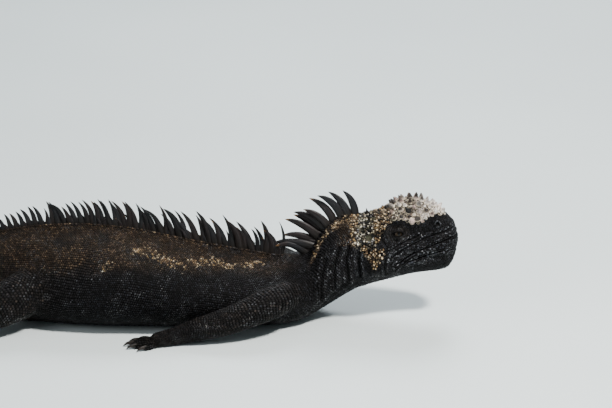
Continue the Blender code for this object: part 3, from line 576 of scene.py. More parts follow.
def union(piece, others):
    """Joins closed pieces to this one and removes them."""
    tools = bpy.data.collections.new("joining")
    bpy.context.scene.collection.children.link(tools)
    for other in others:
        tools.objects.link(other)
    step = piece.modifiers.new("join", "BOOLEAN")
    step.operation = "UNION"
    step.operand_type = "COLLECTION"
    step.collection = tools
    step.solver = "MANIFOLD"
    bpy.context.view_layer.update()
    graph = bpy.context.evaluated_depsgraph_get()
    made = bpy.data.meshes.new_from_object(piece.evaluated_get(graph))
    piece.modifiers.clear()
    piece.data = made
    for other in others:
        bpy.data.objects.remove(other)
    bpy.data.collections.remove(tools)


def tree_of(piece):
    """A search tree over a piece's faces."""
    return BVHTree.FromObject(piece, bpy.context.evaluated_depsgraph_get())


def joined_tree(pieces):
    """One search tree over the faces of several pieces."""
    verts, faces = [], []
    for piece in pieces:
        first = len(verts)
        verts += [vert.co.copy() for vert in piece.data.vertices]
        faces += [[first + i for i in face.vertices] for face in piece.data.polygons]
    return BVHTree.FromPolygons(verts, faces)


# The body's rings: start, end and spacing of each stretch behind the snout.
RING_STRETCHES = (
    (0.3, 4.0, 0.3), (4.0, 84.0, 0.8), (84.0, 132.0, 1.2), (132.0, 402.0, 2.2), (402.0, 957.0, 4.2),
)
AROUND_BODY = 192
AROUND_LIMB = 40
AROUND_DIGIT = 14
HEAD_DETAILS_END = 140.0
FOLDS_END = 130.0         # of the folds that the materials read
SHOULDER_BLEND = (60, 9.0)    # how far out from a joint the flesh blends, and how deep
PALM_BLEND = (22, 3.2)
SOCKET_DEPTH = 4.2        # of the hollow that the eye sits in
SOCKET_EDGE = (3.4, 5.4)


def eye_gap(back, height):
    """How far a place is out from the eye, 1 at the outer ring of its small scales."""
    return np.hypot((back - EYE[0]) / (LID_REACH[0] + 2.2), (height - EYE[1]) / (LID_REACH[1] + 1.5))


def ear_gap(back, height):
    """How far a place is from the middle of the oval ear, in millimetres up and down."""
    return np.hypot((back - EAR[0]) / 0.85, height - EAR[1])


def head_details(back, side, height):
    """Rise of the skin, in millimetres, from the folds, lips and openings of the head and neck."""
    mouth = line_distance(back, height, MOUTH_LINE)
    open_here = 1 - ramp(back, 42.0, 49.0)
    rise = -1.7 * hump(mouth, 0.7) * open_here
    rise += 0.7 * hump(mouth - 2.0, 1.2) * ramp(back, 0.0, 3.0) * open_here
    for line, depth, width, bank in CREASES:
        off = line_distance(back, height, line)
        rise += -depth * hump(off, width) + bank * hump(off - 2.2 * width, 1.3 * width)
    ring = np.hypot((back - EYE[0]) / 1.25, height - EYE[1])
    rise += 0.3 * np.cos(ring * 2 * np.pi / 1.9) * hump(ring - 7.6, 2.6)
    hole = np.hypot(back - NOSTRIL[0], height - NOSTRIL[1])
    rise += -2.4 * hump(hole, 1.15) + 0.7 * hump(hole - 2.5, 0.9)
    drum = ear_gap(back, height)
    rise += -0.9 * (1 - ramp(drum, 1.8, 3.2)) + 0.3 * hump(drum - 3.8, 0.9)
    throat = ramp(-height, -46.0, -36.0) * ramp(back, 12.0, 30.0) * (1 - ramp(back, 125.0, 140.0))
    rise += 0.35 * throat * np.cos(side * 2 * np.pi / 5.2)
    return rise * np.clip(np.abs(side) / 3, 0, 1) ** 0.5


def folds(points):
    """How far the head's and the neck's folds rise or fall at world points, in millimetres."""
    back, side, height = body_place(points)
    return np.where(back < FOLDS_END, head_details(back, side, height), 0.0)


def body_details(back, around):
    """Rise of the skin from wrinkles at the limbs' roots and the soft unevenness of the trunk."""
    wrinkle = np.sin(back * 2 * np.pi / 7.5 + 1.4 * np.sin(around * 3) + np.sin(back / 9.0))
    roots = hump(back - FORELEG[0, 0], 16) + hump(back - 372, 22)
    rise = 0.45 * wrinkle * roots * hump(np.abs(np.sin(around)) - 0.9, 0.35)
    swell = np.sin(back / 17.0 + 2.0 * np.sin(around)) * np.sin(around * 2 + back / 31.0)
    trunk = ramp(back, 140.0, 190.0) * (1 - ramp(back, 380.0, 430.0))
    return rise + 0.7 * swell * trunk * np.abs(np.sin(around))


def body_grid():
    """Points of the skin in rings from the snout to the tail's end."""
    backs = []
    for start, end, spacing in RING_STRETCHES:
        backs += list(np.arange(start, end - spacing * 0.4, spacing))
    backs = np.array(backs)[:, None]
    around = (np.arange(AROUND_BODY) * 2 * math.pi / AROUND_BODY)[None]
    side, height = section(backs, around, -COAT_DEPTH)
    points = place(backs, side, height)
    forwards = np.gradient(points, axis=0)
    across = np.roll(points, -1, 1) - np.roll(points, 1, 1)
    normals = unit(np.cross(forwards, across))
    normals *= np.sign(((points - points.mean(1, keepdims=True)) * normals).sum(-1).mean())
    rise = body_details(backs, around)
    near = backs[:, 0] < HEAD_DETAILS_END
    rise[near] += head_details(backs[near] + 0 * side[near], side[near], height[near])
    points = points + normals * rise[..., None]
    for way in (1, -1):
        centre, normal, _, _ = eye_places(way)
        reach = np.linalg.norm(points - (centre + normal * EYE_DEPTH), axis=-1)
        points = points - normal * (SOCKET_DEPTH * (1 - ramp(reach, *SOCKET_EDGE)))[..., None]
    return points


def eye_places(side):
    """The eyeball's centre, with the outward, rearward and upward directions there."""
    left = side > 0
    low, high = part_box("eye_left" if left else "eye_right")
    centre = np.array(low + high) / 2 / MM
    _, normal, rear = form_frame(EYE[0], at_height(*EYE, side))
    up = unit(np.array(UP) - normal * normal[2])
    rear = np.cross(normal, up) * (1 if np.cross(normal, up) @ rear > 0 else -1)
    return centre, normal, rear, up


def limb_rings(joints, at, side, sides, scale=1.0, shift=0.0):
    """Rings of points round a limb at places along its joints, with their middles and directions."""
    places = place(joints[:, 0], side * joints[:, 1], joints[:, 2])
    number = np.arange(len(joints), dtype=float)
    at = np.atleast_1d(np.asarray(at, float))

    def centre(t):
        return np.stack([smooth_through(number, places[:, i], t) for i in range(3)], -1)

    middle = centre(at)
    way = unit(centre(np.minimum(at + 0.05, number[-1])) - centre(np.maximum(at - 0.05, 0)))
    outer = unit(-side * np.cross(UP, way))
    rise = np.cross(outer, way)
    rise *= np.sign(rise[:, 2:])
    wide, tall = (smooth_through(number, joints[:, i], at)[:, None, None] * scale for i in (3, 4))
    angles = (np.arange(sides) * 2 * math.pi / sides)[None, :, None]
    middle = middle + way * shift
    turned = outer[:, None] * (wide - COAT_DEPTH) * np.cos(angles)
    turned = turned + rise[:, None] * (tall - COAT_DEPTH) * np.sin(angles)
    return middle[:, None] + turned, middle, way, outer


def digit_roots(joints, digits, side):
    """For each digit its knuckle, direction, sideways direction, length and radius."""
    _, middle, ways, outers = limb_rings(joints, len(joints) - 1, side, AROUND_LIMB)
    knuckle, ahead, outer = middle[0], ways[0], outers[0]
    found = []
    for share, splay, length, radius in digits:
        turn = math.radians(splay)
        way = ahead * math.cos(turn) + outer * math.sin(turn)
        way[2] = 0
        way = unit(way)
        root = knuckle + outer * share * (joints[-1, 3] - radius * 0.6) - ahead * abs(share) * 2.5
        found.append((root, way, np.cross(UP, way), length, radius))
    return found


def digit_grid(root, way, aside, length, radius, sides, steps=22):
    """Rings round one toe, knobbed at its joints, with their places along it."""
    shares = np.linspace(DIGIT_RINGS[0, 0], 1.0, steps)
    size, lift = (along(DIGIT_RINGS, shares, i) for i in (1, 2))
    middle = root + way * (length * shares)[:, None]
    middle[:, 2] = radius * lift
    angles = (np.arange(sides) * 2 * math.pi / sides)[None, :, None]
    turned = aside * np.cos(angles) + np.array(UP) * np.sin(angles)
    grid = middle[:, None] + turned * ((radius - COAT_DEPTH * 0.6) * size)[:, None, None]
    return grid, middle, shares


def limb_piece(name, joints, digits, side):
    """A limb's skin from inside the body to the palm's end, with its toes."""
    at = np.linspace(0, len(joints) - 1, 80)
    rings, middle, _, _ = limb_rings(joints, at, side, AROUND_LIMB)
    last = limb_rings(joints, len(joints) - 1, side, AROUND_LIMB, 0.78, 2.6)[0]
    grid = np.concatenate((rings, last))
    limb = closed_loft(name, grid, middle[0], last[0].mean(0))
    toes = []
    for root, way, aside, length, radius in digit_roots(joints, digits, side):
        toe, centres, _ = digit_grid(root, way, aside, length, radius, AROUND_DIGIT)
        toes.append(closed_loft("toe", toe, centres[0], centres[-1] + way * radius * 0.35))
    return limb, toes


def soften(piece, weights, rounds=30):
    """Evens out the skin where the weights say, as flesh blends where parts meet."""
    mesh = piece.data
    ends = np.empty(len(mesh.edges) * 2, np.int32)
    mesh.edges.foreach_get("vertices", ends)
    ends = ends.reshape(-1, 2)
    moved = weights > 0.001
    ends = ends[moved[ends].any(1)]
    points = points_of(piece)
    count = np.bincount(ends.ravel(), minlength=len(points)).astype(float)
    for _ in range(rounds):
        total = np.zeros_like(points)
        for axis in range(3):
            total[:, axis] = np.bincount(ends[:, 0], points[ends[:, 1], axis], len(points))
            total[:, axis] += np.bincount(ends[:, 1], points[ends[:, 0], axis], len(points))
        mean = total / np.maximum(count, 1)[:, None]
        points += np.where(moved, weights, 0)[:, None] * 0.6 * (mean - points) * (count > 0)[:, None]
    set_points(piece, points)


def nearest(points, tree, reach):
    """The nearest places on a surface, its normals there and how far off it is, infinite beyond reach."""
    spots, normals = np.zeros_like(points), np.zeros_like(points)
    far = np.full(len(points), np.inf)
    for i, point in enumerate(points):
        spot, normal, _, distance = tree.find_nearest(Vector(point * MM), reach * MM)
        if spot is not None:
            spots[i], normals[i], far[i] = np.array(spot) / MM, normal, distance
    return spots, normals, far


def near_both(points, one, other, reach):
    """Weights that rise to 1 where two surfaces meet."""
    far = np.maximum(nearest(points, one, reach)[2], nearest(points, other, reach)[2])
    return np.maximum(1 - far / (reach * MM), 0)


def make_skin():
    """One skin over head, neck, trunk, tail, limbs and toes."""
    grid = body_grid()
    tip = place(LENGTH, 0.0, SECTIONS[-1, 3])
    skin = closed_loft("skin", grid, grid[0].mean(0) + np.array((0.25, 0, 0)), tip)
    show(skin)
    body_tree = tree_of(skin)
    limbs, toes, junctions = [], [], []
    for name, joints, digits, side in all_limbs():
        limb, own = limb_piece(name, joints, digits, side)
        limb_tree = joined_tree([limb])
        shoulder, palm = (place(at[0], side * at[1], at[2]) for at in (joints[1], joints[-1]))
        junctions.append((shoulder, *SHOULDER_BLEND, body_tree, limb_tree))
        junctions.append((palm, *PALM_BLEND, limb_tree, joined_tree(own)))
        limbs.append(limb)
        toes += own
    union(skin, limbs + toes)
    points = points_of(skin)
    weights = np.zeros(len(points))
    for middle, around, reach, one, other in junctions:
        close = np.linalg.norm(points - middle, axis=1) < around
        weights[close] = np.maximum(weights[close], near_both(points[close], one, other, reach))
    soften(skin, np.clip(weights * 1.6, 0, 1))
    points = points_of(skin)
    points[:, 2] = np.maximum(points[:, 2], FLOOR_CLEARANCE)
    set_points(skin, points)
    skin.data.shade_smooth()
    back, side, height = body_place(points)
    drum = 1 - ramp(ear_gap(back, height), 2.6, 4.0)
    add_values(
        skin, zones=zones(back, side, height) * (0.8, 0.35, 0.7) + drum[:, None] * (0, 0.5, -0.5),
        rise=0.5 * drum, fold=np.where(drum > 0, 0, folds(points)), chance=np.full(len(points), 0.3))
    return skin


# Forms of a scale: corners, then for each level its share of the scale's width, how high it is and
# how far it is shifted to the rear. The last level is the tip. RAGGED says how uneven a form is.
FORMS = {
    "granule": (8, ((1.0, -0.5, 0.0), (0.9, 0.4, 0.0), (0.5, 0.88, 0.06), (0.0, 1.0, 0.14))),
    "bead": (9, ((0.94, -0.4, 0.0), (0.86, 0.2, 0.0), (0.64, 0.66, 0.08), (0.3, 0.95, 0.2),
                 (0.0, 1.0, 0.26))),
    "keel": (6, ((1.02, -0.4, 0.0), (0.86, 0.4, 0.06), (0.0, 1.0, 0.34))),
    "plate": (10, ((0.98, -0.4, 0.0), (0.95, 0.4, 0.0), (0.72, 0.88, 0.02), (0.0, 1.0, 0.05))),
    "cone": (12, ((0.97, -0.2, 0.0), (0.94, 0.05, 0.0), (0.84, 0.17, 0.02), (0.6, 0.44, 0.06),
                  (0.38, 0.78, 0.13), (0.19, 0.97, 0.18), (0.0, 1.02, 0.2))),
    "thorn": (8, ((0.92, -0.3, 0.0), (0.85, 0.25, 0.05), (0.52, 0.74, 0.26), (0.0, 1.0, 0.6))),
}
RAGGED = {"granule": 0.035, "bead": 0.07, "keel": 0.02, "plate": 0.02, "cone": 0.055, "thorn": 0.11}
LOWEST_SCALE = 0.9        # above the floor
LOWEST_POINT = 0.02
SNOUT_TIP = 1.5           # the scales ahead of this lean forwards
SNOUT_LEAN = 2.0
SCALE_TILT = 0.05
NEIGHBOURS = 12
WIDEST_RUN = 1.6          # of a scale's edge, in radii
MAP_RADIUS = 0.0014       # of a scale on the unwrap
HEAD_MAP = 96.0           # length of the head, and of the nape's band, on the unwrap
NAPE_MAP = 136.0


def scale_faces(corners, rings):
    """Triangles of one closed scale of so many rings and a tip."""
    faces = []
    for ring in range(rings - 1):
        for k in range(corners):
            a, b = ring * corners + k, ring * corners + (k + 1) % corners
            faces += [(a, b, b + corners), (a, b + corners, a + corners)]
    last = (rings - 1) * corners
    faces += [(last + k, last + (k + 1) % corners, rings * corners) for k in range(corners)]
    faces += [(0, k + 1, k) for k in range(1, corners - 1)]
    return np.array(faces)


def kd_tree(points):
    """A search tree over points."""
    tree = KDTree(len(points))
    for i, point in enumerate(points):
        tree.insert(point, i)
    tree.balance()
    return tree


class Bed:
    """Scales that share a stretch of skin, so that each one is cut to fit its neighbours."""

    def __init__(self, tree, seed):
        self.tree = tree
        self.rng = np.random.default_rng(seed)
        self.forms = {}
        self.parts = []

    def add(self, name, form, points, way, radius, rise, uv, first=False, stretch=1.0, chance=None,
            tint=None):
        """Adds places for scales. Those added first keep their place where later ones crowd them."""
        self.forms.setdefault(name, form)
        n = len(points)
        row = dict(
            points=points, along=way, radius=radius, rise=rise, uv=uv, first=first, stretch=stretch,
            tint=zones(*body_place(points)) if tint is None else tint,
            chance=self.rng.random(n) if chance is None else chance, kind=list(self.forms).index(name))
        widths = dict(points=3, along=3, uv=2, tint=3)
        self.parts.append({key: np.broadcast_to(value, (n, widths[key]) if key in widths else (n,))
                           for key, value in row.items()})

    def add_at(self, name, form, back, around, radius, rise, uv, way=None, **more):
        """Adds scales at places along and round the body, that point to the rear unless told."""
        points = body_form(np.atleast_1d(back), around, -COAT_DEPTH)
        self.add(name, form, points, rear_way(back) if way is None else way, radius, rise, uv, **more)

    def grow(self, gap, reach):
        """Drops what is crowded, settles the rest on the skin and makes the pieces."""
        bed = {key: np.concatenate([part[key] for part in self.parts]) for key in self.parts[0]}
        bed = {key: value[self.picked(bed, gap)] for key, value in bed.items()}
        bed["points"], bed["normal"], far = nearest(bed["points"], self.tree, reach)
        found = np.isfinite(far) & (bed["points"][:, 2] > LOWEST_SCALE)
        bed = {key: value[found] for key, value in bed.items()}
        bed["fold"] = folds(bed["points"])
        back = body_place(bed["points"])[0]
        ahead = -rear_way(back) * SNOUT_LEAN * (back < SNOUT_TIP)[:, None]
        normals = unit(bed["normal"] + ahead)
        normals = unit(normals + self.rng.normal(0, SCALE_TILT, normals.shape))
        alongs = unit(bed["along"] - normals * (bed["along"] * normals).sum(-1, keepdims=True))
        bed.update(normal=normals, along=alongs, across=np.cross(normals, alongs))
        tree = kd_tree(bed["points"])
        near = np.array([[hit[1] for hit in tree.find_n(point, NEIGHBOURS)[1:]] for point in bed["points"]])
        off = bed["points"][near] - bed["points"][:, None]
        x = (off * alongs[:, None]).sum(-1) / bed["stretch"][:, None]
        y = (off * bed["across"][:, None]).sum(-1)
        share = bed["radius"][:, None] / (bed["radius"][:, None] + bed["radius"][near])
        limit, turn = share * np.hypot(x, y), np.arctan2(y, x)
        pieces = []
        for kind, (name, form) in enumerate(self.forms.items()):
            mine = np.nonzero(bed["kind"] == kind)[0]
            corners = FORMS[form][0]
            angles = (np.arange(corners) + self.rng.random((len(mine), 1))) * 2 * math.pi / corners
            facing = np.cos(angles[..., None] - turn[mine][:, None])
            run = np.where(facing > 0.1, limit[mine][:, None] / np.maximum(facing, 0.1), 1e9).min(-1)
            run = np.minimum(run, bed["radius"][mine, None] * WIDEST_RUN)
            own = {key: value[mine] for key, value in bed.items()}
            pieces.append(self.build(name, form, own, angles, run))
        return pieces

    def picked(self, bed, gap):
        """The places that stay when crowded ones are dropped, earlier ones kept before later ones."""
        tree = kd_tree(bed["points"])
        radius, first = bed["radius"], bed["first"]
        widest = radius.max()
        free = np.ones(len(radius), bool)
        kept = []
        for i, point in enumerate(bed["points"]):
            if first[i] or free[i]:
                kept.append(i)
                for _, j, far in tree.find_range(point, (radius[i] + widest) * gap):
                    if far < (radius[i] + radius[j]) * gap:
                        free[j] = False
        return np.array(kept)

    def build(self, name, form, own, angles, run):
        """One piece made of all the scales of a kind."""
        corners, levels = FORMS[form]
        n = len(run)
        wide = run.mean(1)[:, None, None]
        up, behind = own["normal"][:, None] * own["rise"][:, None, None], own["along"][:, None] * wide
        circle = np.stack((np.cos(angles), np.sin(angles)), -1)
        out = (own["along"][:, None] * (circle[..., 0] * own["stretch"][:, None])[..., None]
               + own["across"][:, None] * circle[..., 1:]) * run[..., None]
        rings, marks, patch = [], [], []
        for share, height, shift in levels[:-1]:
            uneven = 1 + RAGGED[form] * self.rng.normal(0, 1, (2, n, corners, 1))
            rings.append(out * share * uneven[0] + up * height * uneven[1] + behind * shift)
            marks.append(np.full(corners, np.clip(height, 0, 1)))
            patch.append(circle * MAP_RADIUS * share)
        _, height, shift = levels[-1]
        rings.append(up * height + behind * shift)
        marks.append(np.ones(1))
        patch.append(np.zeros((n, 1, 2)))
        points = (own["points"][:, None] + np.concatenate(rings, 1)).reshape(-1, 3)
        points[:, 2] = np.maximum(points[:, 2], LOWEST_POINT)
        k = corners * (len(levels) - 1) + 1
        faces = np.arange(n)[:, None, None] * k + scale_faces(corners, len(levels) - 1)[None]
        piece = new_piece(name, points * MM, faces.reshape(-1, 3))
        piece.data.shade_smooth()
        add_values(piece, zones=np.repeat(own["tint"], k, 0), chance=np.repeat(own["chance"], k),
                   rise=np.tile(np.concatenate(marks), n), fold=np.repeat(own["fold"], k))
        add_bake_map(piece, (own["uv"][:, None] + np.concatenate(patch, 1)).reshape(-1, 2))
        return piece


def body_rows(start, end, pitch, rng, count):
    """Uneven rows of places that run along the body, each row half a step behind its neighbours."""
    backs, arounds = [], []
    fine = np.linspace(0, 2 * math.pi, 361)
    steps = np.arange(start, end, pitch)
    rings = body_form(steps[:, None], fine[None])
    runs = np.cumsum(np.linalg.norm(np.diff(rings, axis=1), axis=2), axis=1)
    runs = np.concatenate((np.zeros((len(steps), 1)), runs), 1)
    for back, run in zip(steps, runs):
        column = np.arange(count)
        at = (column + rng.uniform(-0.14, 0.14, count)) / count * run[-1]
        around = np.interp(at % run[-1], run, fine)
        around += 0.03 * np.sin(back / 11 + 4 * around)
        arounds.append(around % (2 * math.pi))
        backs.append(back + pitch * (0.5 * (column % 2) + rng.uniform(-0.16, 0.16, count)))
    return np.concatenate(backs), np.concatenate(arounds)


def girth_of(back):
    """The length round the body at places behind the snout."""
    samples = np.arange(2.0, LENGTH, 6.0)
    fine = np.linspace(0, 2 * math.pi, 181)
    lengths = [np.linalg.norm(np.diff(body_form(at, fine), axis=0), axis=1).sum() for at in samples]
    return np.interp(back, samples, lengths)


def rear_way(back):
    """The direction towards the tail along the body's line."""
    turn = heading(np.asarray(back, float))
    return np.stack((-np.cos(turn), np.sin(turn), 0 * turn), -1)


def flat_map(first, second):
    """A place on the unwrap from two shares that each run from 0 to 1."""
    return np.stack(np.broadcast_arrays(first, second), -1) * 0.97 + 0.015


def head_map(back, around, length=HEAD_MAP):
    """A place on the head's unwrap."""
    return flat_map(np.atleast_1d(back / length), around / (2 * math.pi) % 1)


def browned(amount):
    """The zones of dark hide that is so brown."""
    return np.array((0.0, 0.0, amount))


def add_on_side(bed, name, form, back, height, side, size, rise, **more):
    """Adds one scale at a height on a side of the head, which keeps its place."""
    around = at_height(back, height, side)
    bed.add_at(name, form, back, around, size, rise, head_map(back, around), first=True, **more)


# Stretches of trunk and tail scales: name, start, end, pitch as a share of the settings', number
# round the body, height of a scale.
TRUNK_SCALES = (
    ("neck", 84.0, 134.0, "flank", 0.84, 138, 0.68),
    ("chest", 134.0, 222.0, "flank", 0.88, 168, 0.68),
    ("belly", 222.0, 312.0, "flank", 0.92, 176, 0.72),
    ("loin", 312.0, 402.0, "flank", 0.99, 150, 0.75),
    ("tail_base", 402.0, 470.0, "tail", 0.75, 84, 0.9),
    ("tail_middle", 470.0, 600.0, "tail", 0.9, 52, 1.0),
    ("tail_rear", 600.0, 760.0, "tail", 1.0, 34, 0.95),
    ("tail_tip", 760.0, 956.0, "tail", 1.0, 20, 0.7),
)


# Pitch of a limb's scales as a share of the flank's, and their number round it.
LIMB_SCALES = {"fore": (1.0, 38), "hind": (1.08, 43)}
PALM_SCALES = 260
FACE_TRIES = 120000


def tail_roots():
    """For each of the tail's spines the spacing there, its place, length and width."""
    for first, last, spacing, long_first, long_last, wide_first, wide_last in TAIL_CREST:
        for share in np.linspace(0, 1, round((last - first) / spacing) + 1):
            yield (spacing, first + (last - first) * share, long_first + (long_last - long_first) * share,
                   wide_first + (wide_last - wide_first) * share)


def spine_roots():
    """Places of all trunk and tail spines behind the snout, with their width."""
    trunk = [(back, width) for back, _, _, width in TRUNK_SPINES]
    return trunk + [(back, width) for _, back, _, width in tail_roots()]


def add_trunk_scales(bed):
    """Rows of keeled scales from neck to tail's end, and larger ones along the crest's foot."""
    for back, width in spine_roots():
        half = float(along(SECTIONS, back, 3))
        size = width * 0.24
        off = min(width * 0.27, half * 0.5) + size * 0.8
        spots = np.array([place(back + shift, side * off, section(back, 0.0)[1] - 0.6)
                          for side in (-1, 1) for shift in (-0.25 * width, 0.3 * width)])
        bed.add("scales_crest_foot", "bead", spots, rear_way(back), size * bed.rng.uniform(0.85, 1.15, 4),
                size * 0.9, flat_map(back / LENGTH, np.array((0.2, 0.4, 0.6, 0.8))), first=True,
                tint=np.array((0.0, 0.25 * bed.rng.random(), 0.7)))
    for name, start, end, kind, share, count, rise in TRUNK_SCALES:
        pitch = (settings().flank_pitch if kind == "flank" else settings().tail_pitch) / MM * share
        back, around = body_rows(start, end, pitch, bed.rng, count)
        size = (pitch + girth_of(back) / count) / 4 * bed.rng.uniform(0.85, 1.15, len(back))
        uv = flat_map(np.clip((back - start) / (end - start), 0, 1), around / (2 * math.pi))
        bed.add_at(f"scales_{name}", "keel", back, around, size,
                   rise * bed.rng.uniform(0.75, 1.25, len(back)), uv)


def add_limb_scales(bed):
    """Scales over the limbs, finer towards the hands and feet, with plates along the toes."""
    rng = bed.rng
    for limb, joints, digits, side in all_limbs():
        name = f"scales_{limb}"
        coarse, number = LIMB_SCALES[limb.split("_")[0]]
        pitch = settings().flank_pitch / MM * coarse
        spine = place(joints[:, 0], joints[:, 1], joints[:, 2])
        length = np.linalg.norm(np.diff(spine, axis=0), axis=1).sum()
        rows = round(length / pitch)
        at = np.linspace(0.05, len(joints) - 1.0, rows)
        rings, _, ways, _ = limb_rings(joints, at, side, number * 2)
        for k, (root, way, aside, long, radius) in enumerate(digit_roots(joints, digits, side)):
            steps = max(5, round(long * 1.3 / 1.9))
            grid, _, shares = digit_grid(root, way, aside, long, radius, 16, steps)
            for row in range(steps):
                tint = browned(0.2) * rng.random()
                column, line = 0.62 + k * 0.075, shares[row] * 0.6 + 0.38
                bed.add(name, "keel", grid[row, 4:5], way, 1.5, 0.7, flat_map(np.array((line,)), column),
                        first=True, stretch=0.62, tint=tint)
                bed.add(name, "keel", grid[row, (2, 6, 0, 8, 10, 14, 12)], way, 0.85, 0.55,
                        flat_map(line, 0.62 + (k + np.arange(7) / 7) * 0.075), tint=tint)
        for row in range(rows):
            step = np.arange(number) + 0.5 * (row % 2)
            turn = step * 2 * math.pi / number
            wave = 0.9 * np.sin(2 * turn + row / 4.0) + 0.6 * np.sin(5 * turn - row / 2.5)
            ring = rings[row, row % 2::2] + ways[row] * wave[:, None]
            ring = ring + rng.uniform(-0.28, 0.28, (number, 3))
            size = np.linalg.norm(rings[row, 0] - rings[row, 2]) / 2
            size = np.clip((size + pitch / 2) / 2, 0.7, 1.5) * rng.uniform(0.85, 1.15, number)
            bed.add(name, "keel", ring, ways[row], size, 0.7 * rng.uniform(0.75, 1.25, number),
                    flat_map(row / rows, step / number * 0.6), tint=browned(0.3) * rng.random((number, 1)))
        _, middle, way, outer = limb_rings(joints, len(joints) - 1, side, number)
        spots = middle + way * rng.uniform(-4, 7, (PALM_SCALES, 1))
        spots = spots + outer * rng.uniform(-1, 1, (PALM_SCALES, 1)) * joints[-1, 3]
        spots[:, 2] = 5.0 + 4.0 * rng.random(PALM_SCALES)
        bed.add(name, "keel", spots, way[0], 0.9, 0.55, flat_map(1.0, rng.random(PALM_SCALES) * 0.6),
                tint=browned(0.2))


def make_body_scales():
    """All scales behind the head."""
    bed = Bed(tree_of(bpy.data.objects["skin"]), 40)
    add_trunk_scales(bed)
    add_limb_scales(bed)
    return bed.grow(0.56, 2.6)


def add_ring(bed, name, centre, radius, count, size, rise):
    """A ring of small scales round an opening on each side of the head."""
    for _, side in SIDES:
        for k in range(count):
            angle = 2 * math.pi * k / count
            back, height = centre[0] + radius * math.cos(angle), centre[1] + radius * math.sin(angle)
            add_on_side(bed, name, "granule", back, height, side, size, rise)


def add_lips(bed):
    """Plates along both edges of the mouth."""
    for _, side in SIDES:
        for offset, size in ((1.45, 1.25), (-1.45, 1.2)):
            for at in np.arange(1.2, 46.5, 2.3):
                slope = read(MOUTH_LINE, at + 1) - read(MOUTH_LINE, at - 1)
                line = unit(np.array((2.0, slope)))
                back = at - line[1] * offset + bed.rng.uniform(-0.2, 0.2)
                height = read(MOUTH_LINE, at) + line[0] * offset
                if back > 0.6:
                    way = rear_way(back) * line[0] + np.array((0, 0, line[1]))
                    add_on_side(bed, "scales_lips", "plate", back, height, side, size, 0.55, way=way,
                                stretch=1.15)


def add_orbits(bed):
    """Rings of small scales over the lids and round each eye."""
    for _, side in SIDES:
        centre, normal, rear, up = eye_places(side)
        for ring in range(6):
            wide, tall = LID_OPENING[0] + 0.95 + 0.98 * ring, LID_OPENING[1] + 1.0 + 0.9 * ring
            size = 0.44 + 0.05 * ring
            count = round(math.pi * (wide + tall) / (size * 2.15))
            angles = (np.arange(count) + 0.5 * (ring % 2)) * 2 * math.pi / count
            for angle in angles:
                start = centre + rear * wide * math.cos(angle) + up * tall * math.sin(angle)
                spot = dropped(start, normal, bed.tree)
                way = rear * -math.sin(angle) + up * math.cos(angle)
                bed.add("scales_orbit", "granule", spot[None], way, size, size * 0.55,
                        flat_map(np.array((0.2 + 0.03 * ring,)), angle / 14 + (0.5 if side > 0 else 0.0)),
                        first=True, tint=browned(0.15))


def add_cheeks(bed):
    """The fan of long pointed scales at each jaw's angle."""
    front, rear_corner, foot = (np.array(corner) for corner in CHEEK_PATCH)
    rows, uniform = 10, bed.rng.uniform
    for _, side in SIDES:
        for row in range(rows):
            down = row / (rows - 1)
            number = max(1, round(10 * (1 - down) + 1))
            for k in range(number):
                share = (k + 0.5 + 0.3 * uniform(-1, 1)) / number
                back, height = (front + (rear_corner - front) * share) * (1 - down) + foot * down
                back, height = back + uniform(-0.6, 0.6), height + uniform(-0.9, 0.9)
                way = rear_way(back) * (share - 0.3 + uniform(-0.6, 0.6)) + np.array((0, 0, -0.8))
                size = uniform(0.65, 1.25)
                add_on_side(bed, "cheek_scales", "thorn", back, height, side, size, 1.7 * size, way=way,
                            stretch=1.2)


def add_crown_peaks(bed):
    """The dark plates low on the crown and its tallest cones."""
    for back, height, size, chance in DARK_PLATES:
        for _, side in SIDES:
            add_on_side(bed, "crown_cones", "cone", back, height, side, size, 1.6, chance=chance,
                        tint=np.array((0.8, 0.0, 0.0)))
    for back, side, size, rise, dark in CROWN_PEAKS:
        spot = place(back, side, section(back, 0.0)[1])[None]
        tint = zones(*body_place(spot)) * (1, 1, 0) + browned(dark)
        bed.add("crown_cones", "cone", spot, rear_way(back), size, rise,
                flat_map(np.array((back / HEAD_MAP,)), 0.5 + side / 60), first=True,
                chance=bed.rng.random() * 0.9, tint=tint)


def thrown(rng, tries, backs, reach):
    """Random places on the body, with their side, height and zones."""
    back, around = rng.uniform(*backs, tries), rng.uniform(-reach, reach, tries)
    side, height = section(back, around)
    return back, around, height, zones(back, side, height)


def add_crown(bed):
    """Cones thrown at random over the pale crown, the largest first."""
    rng = bed.rng
    for size, tries in ((3.2, 1500), (2.1, 1500), (1.5, 4000), (1.0, 9000)):
        back, around, height, marks = thrown(rng, tries, (7.0, 72.0), 1.7)
        fit = (marks[:, 0] > 0.5) & (eye_gap(back, height) > 1)
        back, around = back[fit], around[fit]
        n = len(back)
        radius = size * rng.uniform(0.86, 1.1, n)
        steep = 1 - np.clip(np.abs(around) / 1.25, 0, 1)
        rise = radius * ((0.6 + 1.1 * steep) if size > 3 else (0.4 + 0.6 * steep)) * rng.uniform(0.8, 1.15, n)
        dark = np.clip(1.45 * rng.random(n) - 0.25 - 0.6 * (1 - ramp(back, 16.0, 32.0)), 0, 1)
        bed.add_at("crown_cones", "cone", back, around, radius, rise, head_map(back, around),
                   chance=rng.random(n) * 0.9, tint=marks[fit] * (1, 1, 0) + browned(1.0) * dark[:, None])


